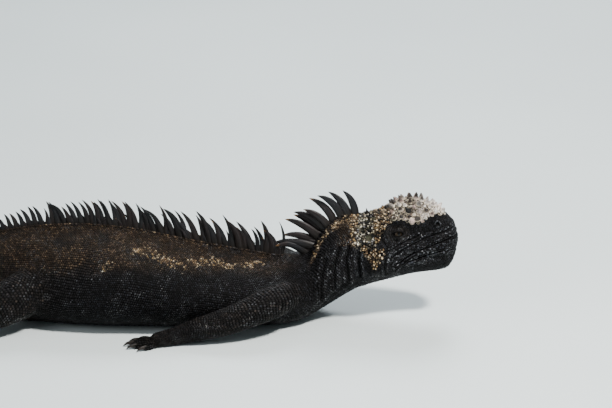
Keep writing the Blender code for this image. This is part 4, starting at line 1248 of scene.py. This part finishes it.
def add_nape(bed):
    """Knobbed scales behind the crown and along the nape's golden band."""
    rng = bed.rng
    for size, tries in ((1.45, 1200), (1.1, 6000), (0.75, 22000)):
        back, around, height, marks = thrown(rng, tries, (42.0, 133.0), 2.0)
        fit = (marks[:, 1] > 0.3) & (marks[:, 0] <= 0.5) & (eye_gap(back, height) > 1)
        fit &= (ear_gap(back, height) > 3.4) & (inside_patch(back, height, CHEEK_PATCH) < -0.6)
        back, around = back[fit], around[fit]
        n = len(back)
        radius = size * rng.uniform(0.84, 1.12, n)
        bed.add_at("nape_scales", "bead", back, around, radius, radius * rng.uniform(0.8, 1.6, n),
                   head_map(back, around, NAPE_MAP))


def add_face(bed):
    """Granules thrown at random over the rest of the face, denser at the snout's tip."""
    rng = bed.rng
    front = FACE_TRIES // 3
    back = np.concatenate((12 * rng.random(front) ** 1.8, rng.uniform(0.4, 90.0, FACE_TRIES - front)))
    around = rng.uniform(0, 2 * math.pi, FACE_TRIES)
    side, height = section(back, around)
    marks = zones(back, side, height)
    fit = (marks[:, 0] < 0.5) & (marks[:, 1] < 0.5) & (eye_gap(back, height) > 1)
    fit &= (np.hypot(back - NOSTRIL[0], height - NOSTRIL[1]) > 2.0) & (ear_gap(back, height) > 3.0)
    fit &= (line_distance(back, height, MOUTH_LINE) > 1.6) | (back > 46)
    back, around, height = back[fit], around[fit], height[fit]
    n = len(back)
    radius = settings().face_pitch / MM * 0.5 * (1 + 0.35 * hump(back, 13))
    radius *= (1 - 0.2 * hump(eye_gap(back, height), 1.6)) * rng.uniform(0.8, 1.2, n)
    rise = radius * 0.5 * rng.uniform(0.6, 1.7, n)
    for name, part in (("scales_snout", back < 40), ("scales_face", back >= 40)):
        bed.add_at(name, "granule", back[part], around[part], radius[part], rise[part],
                   head_map(back[part], around[part]))


def make_head_scales():
    """All scales of the head and of the nape's golden band, cut to fit each other."""
    bed = Bed(joined_tree([bpy.data.objects[name] for name in ("skin", "lids_left", "lids_right")]), 21)
    add_orbits(bed)
    add_ring(bed, "scales_face", NOSTRIL, 2.5, 10, 0.72, 0.5)
    add_ring(bed, "scales_face", EAR, 3.4, 13, 0.75, 0.5)
    add_lips(bed)
    add_cheeks(bed)
    add_crown_peaks(bed)
    add_crown(bed)
    add_nape(bed)
    add_face(bed)
    return bed.grow(0.72, 2.5)


def dropped(start, normal, tree):
    """Where a line from outside the head, straight in along the eye's normal, meets a surface."""
    spot = tree.ray_cast(Vector((start + normal * OUTSIDE) * MM), Vector(-normal), 2 * OUTSIDE * MM)[0]
    return np.array(spot) / MM


def make_lids():
    """Thick almond lids over each eye that run out into the skin about it."""
    pieces = []
    skin = tree_of(bpy.data.objects["skin"])
    angles = np.linspace(0, 2 * math.pi, LID_STEPS[0], endpoint=False)
    shares = np.linspace(0, 1, LID_STEPS[1])
    for word, side in SIDES:
        centre, normal, rear, up = eye_places(side)
        grid = np.zeros((len(angles), len(shares) + 2, 3))
        for i, angle in enumerate(angles):
            c, s = math.cos(angle), math.sin(angle)
            inner = np.array((LID_OPENING[0] * c, LID_OPENING[1] * math.copysign(abs(s) ** 1.3, s)))
            outer = np.array((LID_REACH[0] * c, LID_REACH[1] * s))
            ground = (dropped(centre + rear * outer[0] + up * outer[1], normal, skin) - centre) @ normal
            hang = 0.35 * max(s, 0)
            for j, share in enumerate(shares):
                at = inner + (outer - inner) * share
                off = float(np.hypot(*at))
                ball = math.sqrt(max(EYE_RADIUS ** 2 - off * off, 0.0))
                hood = math.sqrt(max((EYE_RADIUS + 1.0 + hang) ** 2 - off * off, 0.2))
                blend = float(ramp(off, 3.6, 6.9))
                top = hood * (1 - blend) + (ground + 0.05) * blend + 0.12 * math.sin(share * 16)
                rim = min(1.0, share / 0.08) ** 0.5
                out = (ball + 0.08) * (1 - rim) + top * rim
                if j == len(shares) - 1:
                    out = ground - 0.4
                grid[i, j] = centre + rear * at[0] + up * at[1] + normal * out
            inside = inner * 1.12
            grid[i, -2] = centre + rear * outer[0] * 0.9 + up * outer[1] * 0.9 + normal * (ground - 1.6)
            grid[i, -1] = centre + rear * inside[0] + up * inside[1] + normal * (EYE_RADIUS * 0.4)
        count = len(shares) + 2
        a = np.arange(len(angles))[:, None] * count
        b = (np.arange(len(angles))[:, None] + 1) % len(angles) * count
        j = np.arange(count)[None]
        k = (j + 1) % count
        faces = np.stack(np.broadcast_arrays(a + j, b + j, b + k, a + k), -1).reshape(-1, 4)
        lids = new_piece(f"lids_{word}", grid.reshape(-1, 3) * MM, faces)
        face_outwards(lids)
        lids.data.shade_smooth()
        n = len(lids.data.vertices)
        add_values(lids, zones=np.tile(browned(0.1), (n, 1)), chance=np.full(n, 0.3))
        pieces.append(lids)
    return pieces


def face_outwards(piece):
    """Turns all faces of a closed piece outwards."""
    bm = bmesh.new()
    bm.from_mesh(piece.data)
    bmesh.ops.recalc_face_normals(bm, faces=bm.faces)
    bm.to_mesh(piece.data)
    bm.free()


def make_eyes():
    """Eyeballs with a bulged cornea, looking out and a little forward."""
    pieces = []
    rows, around = EYE_STEPS
    for word, side in SIDES:
        centre, normal, rear, up = eye_places(side)
        gaze = unit(normal - rear * 0.12)
        aside = unit(np.cross(up, gaze))
        over = np.cross(gaze, aside)
        points = []
        for row in range(rows + 1):
            polar = math.pi * row / rows
            radius = EYE_RADIUS - 0.15 + 0.35 * math.exp(-((polar / 0.5) ** 2))
            for k in range(around):
                a = 2 * math.pi * k / around
                out = (aside * math.cos(a) + over * math.sin(a)) * math.sin(polar)
                points.append(centre + radius * (gaze * math.cos(polar) + out))
        points = np.array(points)
        grid = points.reshape(rows + 1, around, 3)[1:-1]
        ball = show(closed_loft(f"eyeball_{word}", grid, points[0], points[-1]))
        ball.data.shade_smooth()
        off = points_of(ball) - centre
        polar = np.arccos(np.clip(unit(off) @ gaze, -1, 1))
        turn = np.arctan2(off @ over, off @ aside)
        add_values(ball, iris=np.stack((polar, np.cos(turn), np.sin(turn)), -1))
        pieces.append(ball)
    return pieces


def horn_grid(root, control, tip, across, width, thickness, sides, rings, taper):
    """Rings of a tapered, curved horn, with its tip and the share of the length at each ring."""
    share = np.arange(rings)[:, None] / rings
    line = root * (1 - share) ** 2 + control * 2 * share * (1 - share) + tip * share ** 2
    way = unit((control - root) * (1 - share) + (tip - control) * share)
    aside = unit(across - way * (way * across).sum(-1, keepdims=True))
    flat = np.cross(aside, way)
    size = ((1 - 0.96 * share ** taper) / 2)[..., None]
    angles = np.arange(sides) * 2 * math.pi / sides
    c, s = np.cos(angles)[None, :, None], np.sin(angles)[None, :, None]
    groove = 1 + 0.06 * np.cos(5 * angles)[None, :, None] * (1 - share[..., None])
    loops = line[:, None] + groove * size * (
        flat[:, None] * width * np.sign(c) * np.abs(c) ** 0.85
        + aside[:, None] * thickness * np.sign(s) * np.abs(s) ** 1.15)
    return loops, tip, share[:, 0]


def horns_piece(name, horns):
    """One piece of many closed horns, each given as rings, a tip, shares along it and its own chance."""
    verts, faces, share_of, chance_of, grain, uv = [], [], [], [], [], []
    first = 0
    columns = math.ceil(math.sqrt(len(horns)))
    for number, (loops, tip, shares, chance) in enumerate(horns):
        rings, sides = loops.shape[:2]
        points = np.concatenate((loops.reshape(-1, 3), tip[None], loops[0].mean(0)[None]))
        quads = loft_faces(rings, sides, first)
        j = np.arange(sides)
        k = (j + 1) % sides
        last = first + (rings - 1) * sides
        top = np.full(sides, first + rings * sides)
        faces += [quads[:, (0, 1, 2)], quads[:, (0, 2, 3)], np.stack((last + j, last + k, top), -1),
                  np.stack((first + k, first + j, top + 1), -1)]
        verts.append(points)
        share = np.concatenate((np.repeat(shares, sides), (1.0, 0.0)))
        share_of.append(share)
        chance_of.append(np.full(len(points), chance))
        corner = np.array((number % columns, number // columns)) / columns
        turn = np.concatenate((np.tile(j / sides, rings), (0.5, 0.5)))
        uv.append(corner + np.stack((turn, share), -1) * 0.86 / columns)
        angle = turn * 2 * math.pi
        grain.append(np.stack((3 * np.cos(angle) + number, 3 * np.sin(angle), 1.5 * share), -1))
        first += len(points)
    verts = np.concatenate(verts)
    verts[:, 2] = np.maximum(verts[:, 2], LOWEST_POINT)
    piece = new_piece(name, verts * MM, np.concatenate(faces))
    face_outwards(piece)
    piece.data.shade_smooth()
    add_values(piece, share=np.concatenate(share_of), chance=np.concatenate(chance_of),
               grain=np.concatenate(grain))
    add_bake_map(piece, np.concatenate(uv))
    return piece


def spine(back, side, length, lean, width, taper, chance):
    """One crest spine: a flattened sabre that rises from the back's ridge and bends to the rear."""
    half = float(along(SECTIONS, back, 3))
    root, normal, _ = form_frame(back, 0.0)
    behind = rear_way(back)
    across = np.cross(behind, UP)
    root = root - normal * COAT_DEPTH - across * side

    def way(degrees, splay=0.0):
        a, b = math.radians(degrees), math.radians(splay)
        upright = np.array((0, 0, math.cos(a))) * math.cos(b)
        return upright + behind * math.sin(a) * math.cos(b) + across * math.sin(b)

    splay = chance.uniform(-10, 10)
    thickness = min(width * chance.uniform(0.42, 0.52), half * 0.9)
    foot = root - way(lean - 14) * (3.0 if back < 800 else 1.8)
    control = root + way(lean - chance.uniform(18, 30)) * length * 0.56
    tip = root + way(lean, splay) * length
    sides, rings = (14, 14) if length > 10 else (10, 9)
    return (*horn_grid(foot, control, tip, across, width, thickness, sides, rings, taper), chance.random())


def make_crest():
    """The crest from nape to tail: tall backswept spines with lesser ones between."""
    chance = random.Random(17)
    vary = chance.uniform
    nape = [spine(back, side, length, lean, 5.8 + 0.05 * length, 3.0, chance)
            for back, side, length, lean in NAPE_SPINES]
    nape += [spine(back, vary(-2, 2), vary(6, 11), lean + vary(-15, 15), 3.2, 1.6, chance)
             for back, _, _, lean in NAPE_SPINES]
    nape.append(spine(79.5, 0.0, 6.5, -4, 3.4, 1.5, chance))
    trunk = [spine(back, vary(-0.5, 0.5), length, lean, width * 0.76, vary(1.9, 2.8), chance)
             for back, length, lean, width in TRUNK_SPINES]
    for (back, length, lean, width), (after, *_) in zip(TRUNK_SPINES, TRUNK_SPINES[1:]):
        trunk.append(spine((back + after) / 2, vary(-1.4, 1.4), length * vary(0.28, 0.55),
                           lean + vary(-8, 10), width * vary(0.45, 0.72), 1.6, chance))
    tail = []
    for spacing, back, length, width in tail_roots():
        length, width = length * vary(0.82, 1.12), width * vary(0.9, 1.1)
        tail.append(spine(back, 0.0, length, vary(18, 40), width, 1.7, chance))
        tail.append(spine(back + spacing / 2, 0.0, length * 0.45, vary(20, 45), width * 0.7, 1.5, chance))
    crests = (("nape", nape), ("trunk", trunk), ("tail", tail))
    return [horns_piece(f"crest_{key}", horns) for key, horns in crests]


def make_claws():
    """A curved claw at the end of every toe."""
    pieces = []
    chance = random.Random(9)
    up = np.array(UP)
    for name, joints, digits, side in all_limbs():
        horns = []
        for root, way, aside, length, radius in digit_roots(joints, digits, side):
            end = root + way * length
            end[2] = radius * 0.85
            width = radius * 1.35
            tip = end + way * CLAW_LENGTH * 0.94 - up * (end[2] - 0.5)
            control = end + way * CLAW_LENGTH * 0.55 + up * CLAW_LENGTH * 0.2
            grid = horn_grid(end - way * 2.2, control, tip, aside, width * 1.1, width * 0.8, 14, 12, 1.3)
            horns.append((*grid, chance.random()))
        pieces.append(horns_piece(f"claws_{name}", horns))
    return pieces


class Value:
    """A number or colour inside a node tree, which sums, products and mixes are made from."""

    def __init__(self, tree, socket):
        self.tree, self.socket = tree, socket

    def node(self, kind, inputs, output=0, **values):
        """What a new node gives from this and other inputs."""
        return Value(self.tree, add_node(self.tree, kind, inputs, **values).outputs[output])

    def maths(self, operation, *others):
        """The result of a sum with this and other numbers."""
        return self.node("ShaderNodeMath", dict(enumerate((self, *others))), operation=operation)

    def __mul__(self, other):
        return self.maths("MULTIPLY", other)

    def __add__(self, other):
        return self.maths("ADD", other)

    def most(self, other):
        """The larger of two."""
        return self.maths("MAXIMUM", other)

    def line(self, slope, start):
        """This times a slope, plus a start."""
        return self.maths("MULTIPLY_ADD", slope, start)

    def flipped(self):
        """One minus this."""
        return self.line(-1.0, 1.0)

    def step(self, low, high):
        """This taken from between low and high to between 0 and 1."""
        return self.node("ShaderNodeMapRange", {0: self, 1: low, 2: high}, interpolation_type="SMOOTHSTEP")

    def blend(self, one, other):
        """The first colour where this is 0 and the other where it is 1."""
        return self.node("ShaderNodeMix", {0: self, 6: one, 7: other}, 2, data_type="RGBA")

    def parts(self):
        """The three numbers of a vector."""
        made = add_node(self.tree, "ShaderNodeSeparateXYZ", {0: self})
        return (Value(self.tree, socket) for socket in made.outputs)

    def noise(self, scale, detail=3.0, roughness=0.55):
        """Noise at this place."""
        return self.node("ShaderNodeTexNoise", {
            "Vector": self, "Scale": scale, "Detail": detail, "Roughness": roughness})

    def pick(self, *tones):
        """One of several colours, each for an equal share of the way from 0 to 1."""
        made = add_node(self.tree, "ShaderNodeValToRGB", {0: self})
        made.color_ramp.interpolation = "CONSTANT"
        steps = made.color_ramp.elements
        while len(steps) < len(tones):
            steps.new(1.0)
        for i, tone in enumerate(tones):
            steps[i].position = i / len(tones)
            steps[i].color = (*tone, 1.0)
        return Value(self.tree, made.outputs[0])

    def bump(self, strength, distance):
        """The normal of a surface with this height."""
        return self.node("ShaderNodeBump", {"Height": self, "Strength": strength, "Distance": distance})


def feed(node, inputs):
    """Links values to a node's inputs, and sets plain numbers and colours on them."""
    for name, value in inputs.items():
        socket = node.inputs[name]
        if isinstance(value, Value):
            value.tree.links.new(value.socket, socket)
        else:
            socket.default_value = (*value, 1.0) if socket.type == "RGBA" else value


def add_node(tree, kind, inputs, **values):
    """A shader node with its settings and inputs."""
    made = tree.nodes.new(kind)
    for name, value in values.items():
        setattr(made, name, value)
    feed(made, inputs)
    return made


def toned(rgb, gain):
    """A colour made lighter or darker."""
    return tuple(min(1.0, c * gain) for c in rgb)


def layered(base, *layers):
    """A colour with others laid over it, each where its amount says."""
    for amount, tone in layers:
        base = amount.blend(base, tone)
    return base


def dark_and_brown(marks, look):
    """The dark face and flanks and the brown back, with painted highlights: blue-grey and paler grey scale
    tops and bright glints.
    """
    dark = marks.second.maths("POWER", 1.7).blend(toned(look.charcoal, 0.2), toned(look.charcoal, 2.4))
    # Painted highlight: a blue-grey glint on the tops of some dark scales.
    dark = layered(dark, (marks.third.step(0.74, 0.96) * marks.tops * 0.6, (0.024, 0.026, 0.033)))
    earth = layered(
        marks.second.blend(toned(look.brown, 0.4), toned(look.brown, 1.3)),
        (marks.third.step(0.6, 0.98) * marks.tops, toned(look.brown, 4.4)),
        (marks.broad.step(0.45, 0.65) * 0.75, toned(look.charcoal, 1.3)))
    # Painted highlights: paler grey tops and small bright glints on some scales, gathered in pools and on the
    # folds' banks.
    return layered(
        marks.brown.blend(dark, earth),
        (marks.fifth.step(0.5, 0.9) * (marks.tops * marks.worn) * 0.5, (0.05, 0.052, 0.06)),
        (marks.fifth.step(0.86, 0.96) * marks.rise.step(0.45, 1.0) * (marks.worn * 0.85),
         (0.105, 0.107, 0.115)))


def gold(marks, look):
    """The ochre, olive and black scales of the nape, the cheek and the flanks' patches."""
    warm = marks.second.pick(
        look.ochre, (0.5, 0.385, 0.24), (0.13, 0.083, 0.047), (0.012, 0.01, 0.008),
        (0.21, 0.135, 0.074), (0.48, 0.38, 0.26), (0.11, 0.078, 0.047), (0.038, 0.028, 0.019))
    cool = marks.second.pick(
        look.olive, (0.16, 0.154, 0.154), (0.006, 0.006, 0.006), (0.28, 0.235, 0.16),
        (0.018, 0.017, 0.013), (0.62, 0.57, 0.46), (0.008, 0.008, 0.008), (0.075, 0.064, 0.046))
    lean = marks.brown + marks.broad.line(1.6, -0.8)
    return layered(lean.step(0.2, 0.55).blend(cool, warm), (marks.grit, (0.012, 0.010, 0.008)))


def crust(marks, look):
    """The pale crown, with rims, stains, dark tips, dark plates and painted shade at the cones' feet."""
    stain = marks.coords.noise(135.0, 4.0, 0.65).step(0.5, 0.6)
    plate = marks.rise.step(0.1, 0.3)
    # foot is near 0 at a cone's base; the last layer paints shade there, between the cones.
    foot = marks.rise + marks.blotch.line(0.24, -0.12)
    return layered(
        marks.second.pick(look.cream, (0.26, 0.18, 0.15), (0.66, 0.6, 0.53), (0.055, 0.042, 0.034),
                          (0.46, 0.34, 0.3), (0.022, 0.02, 0.02)),
        (marks.pale.step(0.8, 0.98) * 0.75, (0.95, 0.88, 0.82)),
        (marks.pale.step(0.35, 0.72).flipped() * 0.4, (0.14, 0.11, 0.075)),
        (marks.rise.step(0.17, 0.34).flipped() * 0.75, (0.66, 0.58, 0.43)),
        (stain * marks.pale.step(0.82, 0.99).flipped() * 0.75, (0.03, 0.024, 0.019)),
        (marks.rise.step(0.16, 0.6) * marks.brown, (0.012, 0.009, 0.008)),
        (marks.grit * 0.75, (0.05, 0.035, 0.027)),
        (marks.chance.step(0.915, 0.925) * plate * 0.95, (0.013, 0.013, 0.012)),
        (marks.chance.step(0.95, 0.96) * plate, (0.003, 0.003, 0.003)),
        (foot.step(0.02, 0.14).flipped() * 0.95, (0.012, 0.009, 0.007)))


def hide_group():
    """The hide's colour, roughness, wetness and fine height from its zones and each scale's own chance."""
    found = bpy.data.node_groups.get("Iguana hide")
    if found:
        return found
    tree = bpy.data.node_groups.new("Iguana hide", "ShaderNodeTree")
    for way, sockets in (
        ("INPUT", (("Zones", "Vector"), ("Chance", "Float"), ("Rise", "Float"), ("Fold", "Float"))),
        ("OUTPUT", (("Color", "Color"), ("Roughness", "Float"), ("Wet", "Float"), ("Height", "Float"))),
    ):
        for name, kind in sockets:
            tree.interface.new_socket(name, in_out=way, socket_type=f"NodeSocket{kind}")
    given = {socket.name: Value(tree, socket) for socket in tree.nodes.new("NodeGroupInput").outputs}
    marks = SimpleNamespace(
        coords=Value(tree, tree.nodes.new("ShaderNodeTexCoord").outputs["Object"]),
        chance=given["Chance"], rise=given["Rise"], fold=given["Fold"])
    marks.pale, marks.golden, marks.brown = given["Zones"].parts()
    # Four more chances of each scale's own, from the first.
    marks.second, marks.third, fourth, marks.fifth = (
        (marks.chance * factor).maths("FRACT") for factor in (13.7, 57.3, 91.7, 31.3))
    marks.broad, marks.blotch = marks.coords.noise(60.0, 4.0), marks.coords.noise(260.0, 3.0)
    fine = marks.coords.noise(1100.0, 2.0)
    marks.tops = marks.rise.step(0.1, 0.9)
    pools = marks.coords.noise(85.0, 2.0).step(0.46, 0.62)
    banks = marks.fold.step(0.2, 0.55)
    # Where the painted glints gather: in pools of a coarse noise and on the folds' banks.
    marks.worn = (pools * 0.7).most(banks)
    marks.grit = marks.coords.noise(620.0, 3.0).step(0.4, 0.55).line(-0.6, 0.6)

    look = settings()
    jitter = marks.third.line(0.3, -0.15)
    spread = marks.golden + marks.blotch.line(1.1, -0.55) + jitter
    crown = (marks.pale + jitter).step(0.36, 0.46)
    base = layered(
        dark_and_brown(marks, look),
        (spread.step(0.36, 0.68), gold(marks, look)),
        (crown, crust(marks, look)))

    # Painted shade darkens the scales to their feet and the hide in its grooves, while a painted highlight
    # makes the folds' banks lighter.
    grooves = (marks.fold * -1.0).step(0.05, 0.6)
    low = marks.rise.step(0.12, 0.85).line(0.9, 0.1).most(crown)
    low = low * grooves.line(-0.85, 1.0) * marks.fold.step(0.1, 0.6).line(0.9, 1.0)
    shade = fine.line(0.8, 0.6) * low
    grey = shade.node("ShaderNodeCombineColor", {0: shade, 1: shade, 2: shade})
    wet = (fourth.step(0.6, 0.85) * pools).most(banks * marks.fifth.step(0.3, 0.6))
    wet = wet * marks.rise.step(0.3, 0.8)
    final = base.node("ShaderNodeMix", {0: 1.0, 6: base, 7: grey}, 2, data_type="RGBA", blend_type="MULTIPLY")
    feed(tree.nodes.new("NodeGroupOutput"), {
        "Color": final, "Roughness": wet.line(-0.25, 0.6), "Wet": wet, "Height": fine + marks.blotch * 0.8})
    return tree


def new_material(name):
    """A material and its shader."""
    made = bpy.data.materials.new(name)
    made.use_nodes = True
    return made, made.node_tree.nodes["Principled BSDF"]


def attribute(material, name, output="Fac"):
    """What is stored at each point under this name."""
    made = add_node(material.node_tree, "ShaderNodeAttribute", {}, attribute_name=name)
    return Value(material.node_tree, made.outputs[output])


def hide_material(name, bump, shine, wet=False):
    """The scaly hide, whose markings run on from skin to scales."""
    found = bpy.data.materials.get(name)
    if found:
        return found
    made, shader = new_material(name)
    group = add_node(made.node_tree, "ShaderNodeGroup", {}, node_tree=hide_group())
    feed(group, {"Zones": attribute(made, "zones", "Vector"), "Chance": attribute(made, "chance"),
                 "Rise": attribute(made, "rise"), "Fold": attribute(made, "fold")})
    given = {socket.name: Value(made.node_tree, socket) for socket in group.outputs}
    feed(shader, {"Base Color": given["Color"], "Roughness": given["Roughness"],
                  "Normal": given["Height"].bump(bump, 0.0004), "Specular IOR Level": shine})
    if wet:
        feed(shader, {"Coat Weight": given["Wet"], "Coat Roughness": 0.13})
    return made


def horn_material(name, base, pale_tip):
    """Dark horn with fine streaks along it and a paler tip, from wear, on some spines."""
    made, shader = new_material(name)
    share, chance = attribute(made, "share"), attribute(made, "chance")
    grain = attribute(made, "grain", "Vector")
    streak = grain.noise(2.4, 4.0)
    body = layered(
        streak.step(0.4, 0.75).blend(toned(base, 0.35), toned(base, 2.2)),
        (grain.noise(0.7, 2.0).step(0.5, 0.72) * 0.55, (0.026, 0.027, 0.032)),
        (chance.step(0.25, 0.75) * streak.step(0.35, 0.6) * 0.55, (0.022, 0.0125, 0.0105)),
        (streak.step(0.6, 0.7) * share.step(0.15, 0.5) * 0.5, (0.075, 0.068, 0.066)),
        (share.step(0.84, 1.0) * chance.step(0.72, 0.9) * pale_tip, (0.22, 0.115, 0.045)),
        (share.step(0.12, 0.4).flipped() * 0.6, (0.012, 0.010, 0.008)))
    feed(shader, {"Base Color": body, "Roughness": streak.line(0.3, 0.28), "Specular IOR Level": 0.2,
                  "Normal": streak.bump(0.35, 0.0003)})
    return made


def eye_material():
    """A dim brown iris with fine spokes round a dark pupil, wet all over."""
    made, shader = new_material("eye_wet")
    polar, across, over = attribute(made, "iris", "Vector").parts()
    spokes = polar.node("ShaderNodeCombineXYZ", {0: across * 9.0, 1: over * 9.0, 2: polar * 3.0})
    body = layered(
        spokes.noise(2.2, 3.0).step(0.35, 0.7).blend((0.008, 0.005, 0.003), (0.034, 0.022, 0.010)),
        (polar.step(0.6, 0.78), (0.006, 0.0045, 0.0035)),
        (polar.step(0.27, 0.31).flipped(), (0.002, 0.002, 0.002)))
    feed(shader, {"Base Color": body, "Roughness": 0.15, "Specular IOR Level": 0.12, "Coat Weight": 0.22,
                  "Coat Roughness": 0.03})
    return made


def dress(piece, material, slot, *nodes):
    """Gives a piece its finish and fixes it to the model."""
    piece.data.materials.clear()
    piece.data.materials.append(material)
    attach(piece, "root")
    if nodes:
        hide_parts(*nodes)


class IGUANA_OT_skin(bpy.types.Operator):
    """One skin over all the flesh, with folds, lips, nostrils and ears"""

    bl_idname = "iguana.skin"
    bl_label = "Skin"

    def execute(self, context):
        dress(make_skin(), hide_material("hide_skin", 0.5, 0.06), "body_skin", *FLESH)
        return {"FINISHED"}


class IGUANA_OT_lids(bpy.types.Operator):
    """Lids over both eyes"""

    bl_idname = "iguana.lids"
    bl_label = "Lids"

    def execute(self, context):
        for piece in make_lids():
            dress(piece, hide_material("hide_skin", 0.5, 0.06), "head_skin")
        return {"FINISHED"}


class IGUANA_OT_head_scales(bpy.types.Operator):
    """Face granules, lip plates, orbit rings, crown cones, nape and cheek scales"""

    bl_idname = "iguana.head_scales"
    bl_label = "Head scales"

    def execute(self, context):
        wet = hide_material("hide_scales", 0.25, 0.1, wet=True)
        dry = hide_material("hide_crown", 0.6, 0.2)
        knobs = hide_material("hide_knobs", 0.6, 0.12, wet=True)
        finish = {"crown_cones": dry, "nape_scales": knobs, "cheek_scales": knobs}
        for piece in make_head_scales():
            dress(piece, finish.get(piece.name, wet), "head_skin")
        return {"FINISHED"}


class IGUANA_OT_body_scales(bpy.types.Operator):
    """Keeled scales over neck, trunk, tail and limbs"""

    bl_idname = "iguana.body_scales"
    bl_label = "Body scales"

    def execute(self, context):
        hide = hide_material("hide_scales", 0.25, 0.1, wet=True)
        for piece in make_body_scales():
            dress(piece, hide, "body_skin")
        return {"FINISHED"}


class IGUANA_OT_eyes(bpy.types.Operator):
    """Wet brown eyes in place of the plain balls"""

    bl_idname = "iguana.eyes"
    bl_label = "Eyes"

    def execute(self, context):
        wet = eye_material()
        for piece, node in zip(make_eyes(), ("eye_left", "eye_right")):
            dress(piece, wet, "eye", node)
        return {"FINISHED"}


class IGUANA_OT_crest(bpy.types.Operator):
    """The crest's horny spines"""

    bl_idname = "iguana.crest"
    bl_label = "Crest"

    def execute(self, context):
        horn = horn_material("crest_horn", settings().horn, 0.9)
        for piece in make_crest():
            dress(piece, horn, "crest_horn")
        return {"FINISHED"}


class IGUANA_OT_claws(bpy.types.Operator):
    """Claws on all toes"""

    bl_idname = "iguana.claws"
    bl_label = "Claws"

    def execute(self, context):
        horn = horn_material("claw_horn", settings().claw, 0.3)
        for piece in make_claws():
            dress(piece, horn, "claw_horn")
        return {"FINISHED"}


CAMERA_ELEVATION = 18.0
CAMERA_DISTANCE = 3500.0
CAMERA_AIM = (124.3, 0.0, 98.5)
VIEW_WIDTH = 526.3        # seen across the picture at the aim's distance
SENSOR = 36.0
# In metres: the floor's corners, and each light's name, place, aim, size, power and colour.
FLOOR = ((-6, -6, 0), (6, -6, 0), (6, 12, 0), (-6, 12, 0))
LIGHTS = (
    ("key", (0.85, -0.75, 1.55), (0.1, 0, 0.05), 0.3, 66.0, (1.0, 0.97, 0.93)),
    ("rim", (0.3, 1.3, 1.25), (0.1, 0, 0.06), 0.8, 24.0, (0.9, 0.96, 1.0)),
    ("fill", (-1.2, -1.2, 0.9), (0.0, 0, 0.05), 1.0, 8.0, (0.95, 0.98, 1.0)),
)
SKY = (0.82, 0.9, 0.95)
SKY_STRENGTH = 0.34


def stand(name, data, spot, aim):
    """An object of the stage, in metres, that looks at a place."""
    made = bpy.data.objects.new(name, data)
    made.location = spot
    made.rotation_mode = "QUATERNION"
    made.rotation_quaternion = (Vector(aim) - Vector(spot)).to_track_quat("-Z", "Y")
    return show(made, "Stage")


def add_floor():
    """A wide floor in a pale, slightly uneven tone."""
    floor = new_piece("floor", FLOOR, [range(4)], "Stage")
    made, shader = new_material("floor_pale")
    coords = Value(made.node_tree, made.node_tree.nodes.new("ShaderNodeTexCoord").outputs["Object"])
    tone = coords.noise(2.0, 2.0).step(0.3, 0.7)
    feed(shader, {"Base Color": tone.blend(toned(settings().floor, 0.97), toned(settings().floor, 1.03)),
                  "Roughness": 0.55})
    floor.data.materials.append(made)


def add_lights():
    """A pale sky and three soft round lights."""
    world = bpy.data.worlds.new("studio")
    world.use_nodes = True
    feed(world.node_tree.nodes["Background"], {0: SKY, 1: SKY_STRENGTH})
    bpy.context.scene.world = world
    for name, spot, aim, size, power, tint in LIGHTS:
        light = bpy.data.lights.new(name, "AREA")
        light.shape, light.size, light.energy, light.color = "DISK", size, power, tint
        stand(name, light, spot, aim)


def add_camera():
    """The photo's view: from the animal's right and a little above."""
    camera = bpy.data.cameras.new("camera")
    camera.sensor_width = SENSOR
    camera.lens = SENSOR * CAMERA_DISTANCE / VIEW_WIDTH
    camera.clip_start, camera.clip_end = 0.1, 100.0
    tilt = math.radians(CAMERA_ELEVATION)
    way = Vector((0.0, -math.cos(tilt), math.sin(tilt)))
    aim = Vector(CAMERA_AIM) * MM
    bpy.context.scene.camera = stand("camera", camera, aim + way * CAMERA_DISTANCE * MM, aim)


class IGUANA_OT_stage(bpy.types.Operator):
    """A plain pale floor, soft studio light and a camera"""

    bl_idname = "iguana.stage"
    bl_label = "Stage"

    def execute(self, context):
        add_floor()
        add_lights()
        add_camera()
        return {"FINISHED"}


STEPS = (
    IGUANA_OT_skin, IGUANA_OT_lids, IGUANA_OT_eyes, IGUANA_OT_head_scales, IGUANA_OT_body_scales,
    IGUANA_OT_crest, IGUANA_OT_claws, IGUANA_OT_stage,
)


class IGUANA_PT_panel(bpy.types.Panel):
    """Lists the steps that build the model"""

    bl_idname = "IGUANA_PT_panel"
    bl_label = "Marine Iguana"
    bl_space_type = "VIEW_3D"
    bl_region_type = "UI"
    bl_category = "Iguana"

    def draw(self, context):
        for name in IguanaSettings.__annotations__:
            self.layout.prop(context.scene.iguana, name)
        for step in STEPS:
            self.layout.operator(step.bl_idname)


CLASSES = (IguanaSettings, *STEPS, IGUANA_PT_panel)


def register():
    """Makes the settings, the steps and the panel known to Blender."""
    for item in CLASSES:
        bpy.utils.register_class(item)
    bpy.types.Scene.iguana = bpy.props.PointerProperty(type=IguanaSettings)


def unregister():
    """Takes them away again."""
    del bpy.types.Scene.iguana
    for item in reversed(CLASSES):
        bpy.utils.unregister_class(item)


def main():
    """Builds the whole model."""
    register()
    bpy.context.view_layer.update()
    for step in STEPS:
        group, name = step.bl_idname.split(".")
        getattr(getattr(bpy.ops, group), name)()


if __name__ == "__main__":
    main()
